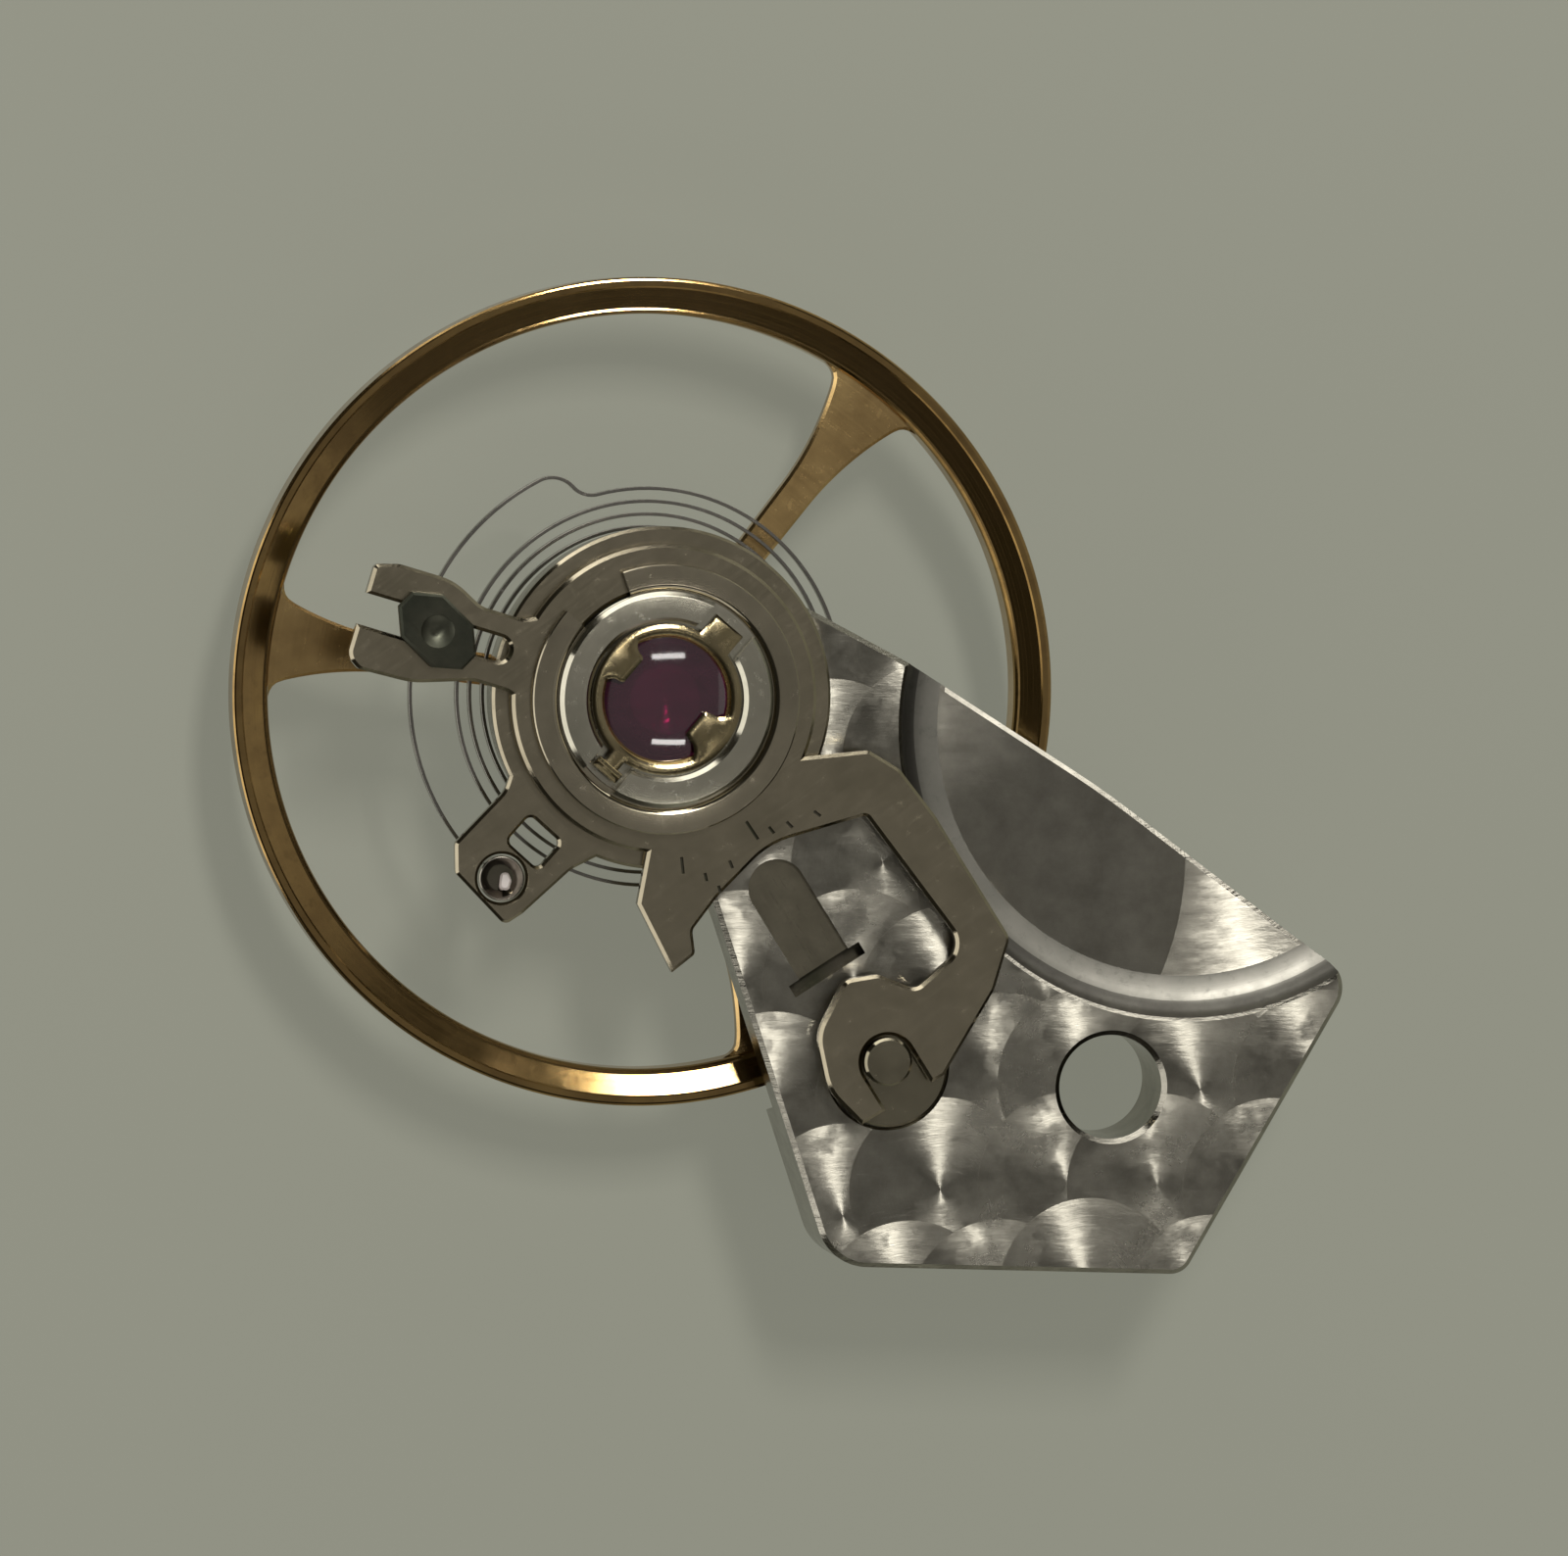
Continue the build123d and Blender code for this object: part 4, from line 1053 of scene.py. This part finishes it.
curb_angle = 163
fork_shares = (
    (0.330, -0.200, 0.0), (0.500, -0.112, 0.08), (0.640, -0.112, 0.10), (0.745, -0.166, 0.20),
    (0.925, -0.166, 0.04), (1.000, -0.145, 0.02), (1.000, 0.155, 0.05), (0.955, 0.185, 0.04),
    (0.780, 0.178, 0.25), (0.600, 0.118, 0.12), (0.480, 0.118, 0.08), (0.330, 0.200, 0.0),
)
tail_shares = (
    (0.240, -0.185, 0.0), (0.362, -0.297, 0.008), (0.537, -0.312, 0.008), (0.530, -0.245, 0.015),
    (0.480, -0.222, 0.022), (0.447, -0.135, 0.03), (0.408, 0.030, 0.2), (0.473, 0.253, 0.012),
    (0.850, 0.288, 0.055), (0.872, 0.142, 0.028), (0.796, 0.086, 0.03), (0.766, 0.015, 0.03),
    (0.836, -0.105, 0.09), (0.960, -0.150, 0.12), (1.068, -0.125, 0.004), (1.074, 0.095, 0.006),
    (0.972, 0.294, 0.05), (0.890, 0.388, 0.03), (0.560, 0.388, 0.1), (0.425, 0.374, 0.05),
    (0.350, 0.336, 0.02), (0.270, 0.175, 0.0),
)
index_bottom, index_top = carrier_top + play, 2.92
fork_seat = 0.22
fork_cuts = [bar(2.1, outer_reach, -0.15, 0.15), circle(0.15, (2.1, 0), 60),
             bar(outer_reach, 4.0, -0.19, 0.19), circle(fork_seat, (outer_reach, 0), 72)]
tail_slot = 5.15        # from the staff to the round end of the slot, where the screw's pin stands
tail_cuts = [bar(tail_slot, 6.204, -0.32, 0.32), circle(0.32, (tail_slot, 0), 96)]
fork = rounded(fork_shares, 3.8, curb_angle)
tail = rounded(tail_shares, eccentric_reach, tail_angle)
index = shape(plate(
    [circle(1.84, steps=240), fork, tail],
    [collar_bore] + [turned(cut, curb_angle) for cut in fork_cuts]
    + [turned(cut, tail_angle) for cut in tail_cuts],
    index_bottom, index_top, upper=0.04, lower=0.015,
))
line_floor = index_top - 0.03
for reach, angle, length in (
    (2.19, -77, 0.1), (2.38, -73.9, 0.1), (2.14, -68.1, 0.1), (2.04, -50.8, 0.1),
    (2.14, -45.2, 0.1), (2.31, -37, 0.1), (1.9, -56.3, 0.26), (2.0, -84, 0.2),
):
    line = turned(bar(reach - length / 2, reach + length / 2, -0.018, 0.018), angle)
    carve(index, plate([line], [], line_floor, 3.1))
hand_in(index, "index_with_fork_and_tail", "regulator_index", "regulator", "polished_steel",
        polished_steel, black_shade)
# The floors of the engraved lines are painted black as shade.
refinish(index, 1, lambda x, y, z: abs(z - line_floor) < 0.002, least_up=0.5)


# Curb pin block
# Small eight-sided block of blackened steel that turns in the fork's seat, with a stem and a collar
# under the arm and a turning dimple in its top.

curb_place = polar(outer_reach, curb_angle)
head_angle, head_length, head_width = 135, 1.07, 0.7
blackened = metal(
    "dark_steel", (0.10, 0.10, 0.075), (0.05, 0.055, 0.042), satin=0.34, polish=0.45,
    grain="straight", angle=head_angle, relief=0.7, spotted=0.2,
)
head_shares = ((0.50, 0.167), (0.24, 0.50), (-0.24, 0.50), (-0.50, 0.167),
               (-0.50, -0.167), (-0.24, -0.50), (0.24, -0.50), (0.50, -0.167))
head = turned([(head_length * along, head_width * across) for along, across in head_shares],
              head_angle, curb_place)
curb = shape(
    plate([head], [], index_top + play, 3.1, upper=0.03, lower=0.015),
    lathe(disc(fork_seat - play, 2.71, 2.95), curb_place, 72),
    lathe(disc(0.28, 2.6, index_bottom - play, lower=0.02, upper=0.01), curb_place, 96),
)
carve(curb, lathe([(0, 3.04), (0.06, 3.04), (0.18, 3.08), (0.24, 3.14), (0, 3.14)], curb_place, 72))
hand_in(curb, "eight_sided_block", "curb_pin_block", "curb_pin", "dark_steel", blackened)


# Curb pins
# Two drawn brass pins set in the block, one on each side of the hairspring. The working length of
# the spring ends at them.

curb_pair = shape(*[
    lathe(disc(0.05, 1.46, 2.72, 0.012, 0.005), polar(outer_reach + side, curb_angle), 48)
    for side in (0.1, -0.1)
])
hand_in(curb_pair, "two_curb_pins", "curb_pins", "curb_pin", "pin_brass", pin_brass)


# Retaining ring
# Open spring ring of polished steel. Its inner lip snaps in the groove of the collar and keeps both
# levers down.

opening_from, opening_to = 109, 138.5
lip = groove_reach + play
keeper = shape(lathe([
    (lip, index_top + play, 0.01), (1.61, index_top + play, 0.015), (1.61, 3.045), (1.595, 3.06),
    (1.38, 3.06), (1.355, 3.055), (1.33, 3.043), (1.315, 3.025), (1.31, 2.99), (lip, 2.99, 0.01),
], steps=240, start=opening_to, sweep=360 + opening_from - opening_to))
ring_steel = metal("ring_steel", (0.42, 0.375, 0.28), (0.33, 0.295, 0.22), **flat_ground)
hand_in(keeper, "open_keeper_ring", "retaining_ring", "cock", "polished_steel", ring_steel)


# Eccentric screw
# Steel disc that turns in a counterbore of the cock. Its pin stands off centre between the tines
# of the tail, so a turn of the disc moves the index a little.

screw_pin_place = polar(tail_slot, tail_angle)
screw_steel = metal(
    "screw_steel", (0.29, 0.262, 0.19), (0.23, 0.207, 0.15), centre=eccentric_place, **flat_ground,
)
screw = shape(
    lathe(disc(disc_hole - play, disc_floor + play, 2.67, 0.02, 0.025), eccentric_place),
    lathe(disc(stem_hole - play, 2.09, 2.38, lower=0.03), eccentric_place, 72),
    lathe(disc(0.29, 2.6, 2.98, upper=0.03), screw_pin_place, 96),
)
hand_in(screw, "eccentric_disc_and_pin", "eccentric_screw", "eccentric", "polished_steel",
        screw_steel)


# Studio
# A plain pale floor in a dim room under a wide soft ceiling, with soft boxes round it, and a camera
# that looks down at the angle of the photograph. Sizes from here on are in metres.

floor_mesh = bpy.data.meshes.new("pale_floor")
floor_mesh.from_pydata([(-1, -1, -2e-4), (1, -1, -2e-4), (1, 1, -2e-4), (-1, 1, -2e-4)], [],
                       [(0, 1, 2, 3)])
floor = new_object("pale_floor", floor_mesh)
floor_paint, tree, surface, place = start_material("pale_floor", metallic=0.0)
cloud = noise(tree, place, 0.05, 3.0, 0.5)
tone = blend_colour(tree, cloud, (0.099, 0.101, 0.082), (0.108, 0.110, 0.089))
feed(tree, surface, {
    "Base Color": tone,
    "Roughness": 0.7,
    "Emission Color": tone,
    "Emission Strength": 1.75,
})
floor_mesh.materials.append(floor_paint)

world = bpy.data.worlds.new("dim_room")
bpy.context.scene.world = world
world.use_nodes = True
feed(world.node_tree, world.node_tree.nodes["Background"],
     {"Color": (0.80, 0.74, 0.56), "Strength": 0.035})


def set_up(name, data, spot, backwards):
    """A lamp or camera at a spot, with its back turned the given way and its top to the back."""
    made = new_object(name, data)
    back = backwards.normalized()
    right = Vector((0, 1, 0)).cross(back).normalized()
    turn = Matrix((right, back.cross(right), back)).transposed()
    made.matrix_world = Matrix.Translation(spot) @ turn.to_4x4()
    return made


for name, spot, size, radiance in (
    ("ceiling", (0.057, -0.02, 0.30), (0.28, 0.28), 0.14),
    ("back_box", (0.04, 0.13, 0.04), (0.25, 0.055), 2.6),
    ("left_box", (-0.13, -0.01, 0.04), (0.08, 0.16), 1.5),
    ("high_box", (0.022, 0.09, 0.163), (0.022, 0.045), 62.0),
    ("front_fill", (0.02, -0.17, 0.10), (0.26, 0.12), 0.8),
    ("right_fill", (0.17, 0.0, 0.17), (0.12, 0.20), 0.25),
    ("upper_strip", (0.036, 0.048, 0.19), (0.046, 0.007), 6.0),
    ("lower_strip", (0.036, -0.068, 0.184), (0.046, 0.007), 6.0),
):
    lamp = bpy.data.lights.new(name, "AREA")
    lamp.shape = "ELLIPSE" if name == "ceiling" else "RECTANGLE"
    lamp.size, lamp.size_y = size
    lamp.energy = radiance * math.pi * size[0] * size[1]
    lamp.color = (1.0, 0.98, 0.93)
    backwards = Vector(spot)
    if name == "back_box":      # it lies along X
        backwards.x = 0
    set_up(name, lamp, Vector(spot), backwards)

aim, distance, tilt = Vector((0.0017, -0.00105, 0.0015)), 0.12, math.radians(11)
toward = Vector((-0.94 * math.sin(tilt), 0.33 * math.sin(tilt), math.cos(tilt))).normalized()
lens = bpy.data.cameras.new("camera")
lens.sensor_width = 36
lens.lens = 228
lens.clip_start = 0.002
lens.clip_end = 3
bpy.context.scene.camera = set_up("camera", lens, aim + toward * distance, toward)
bpy.context.scene.view_settings.view_transform = "Standard"
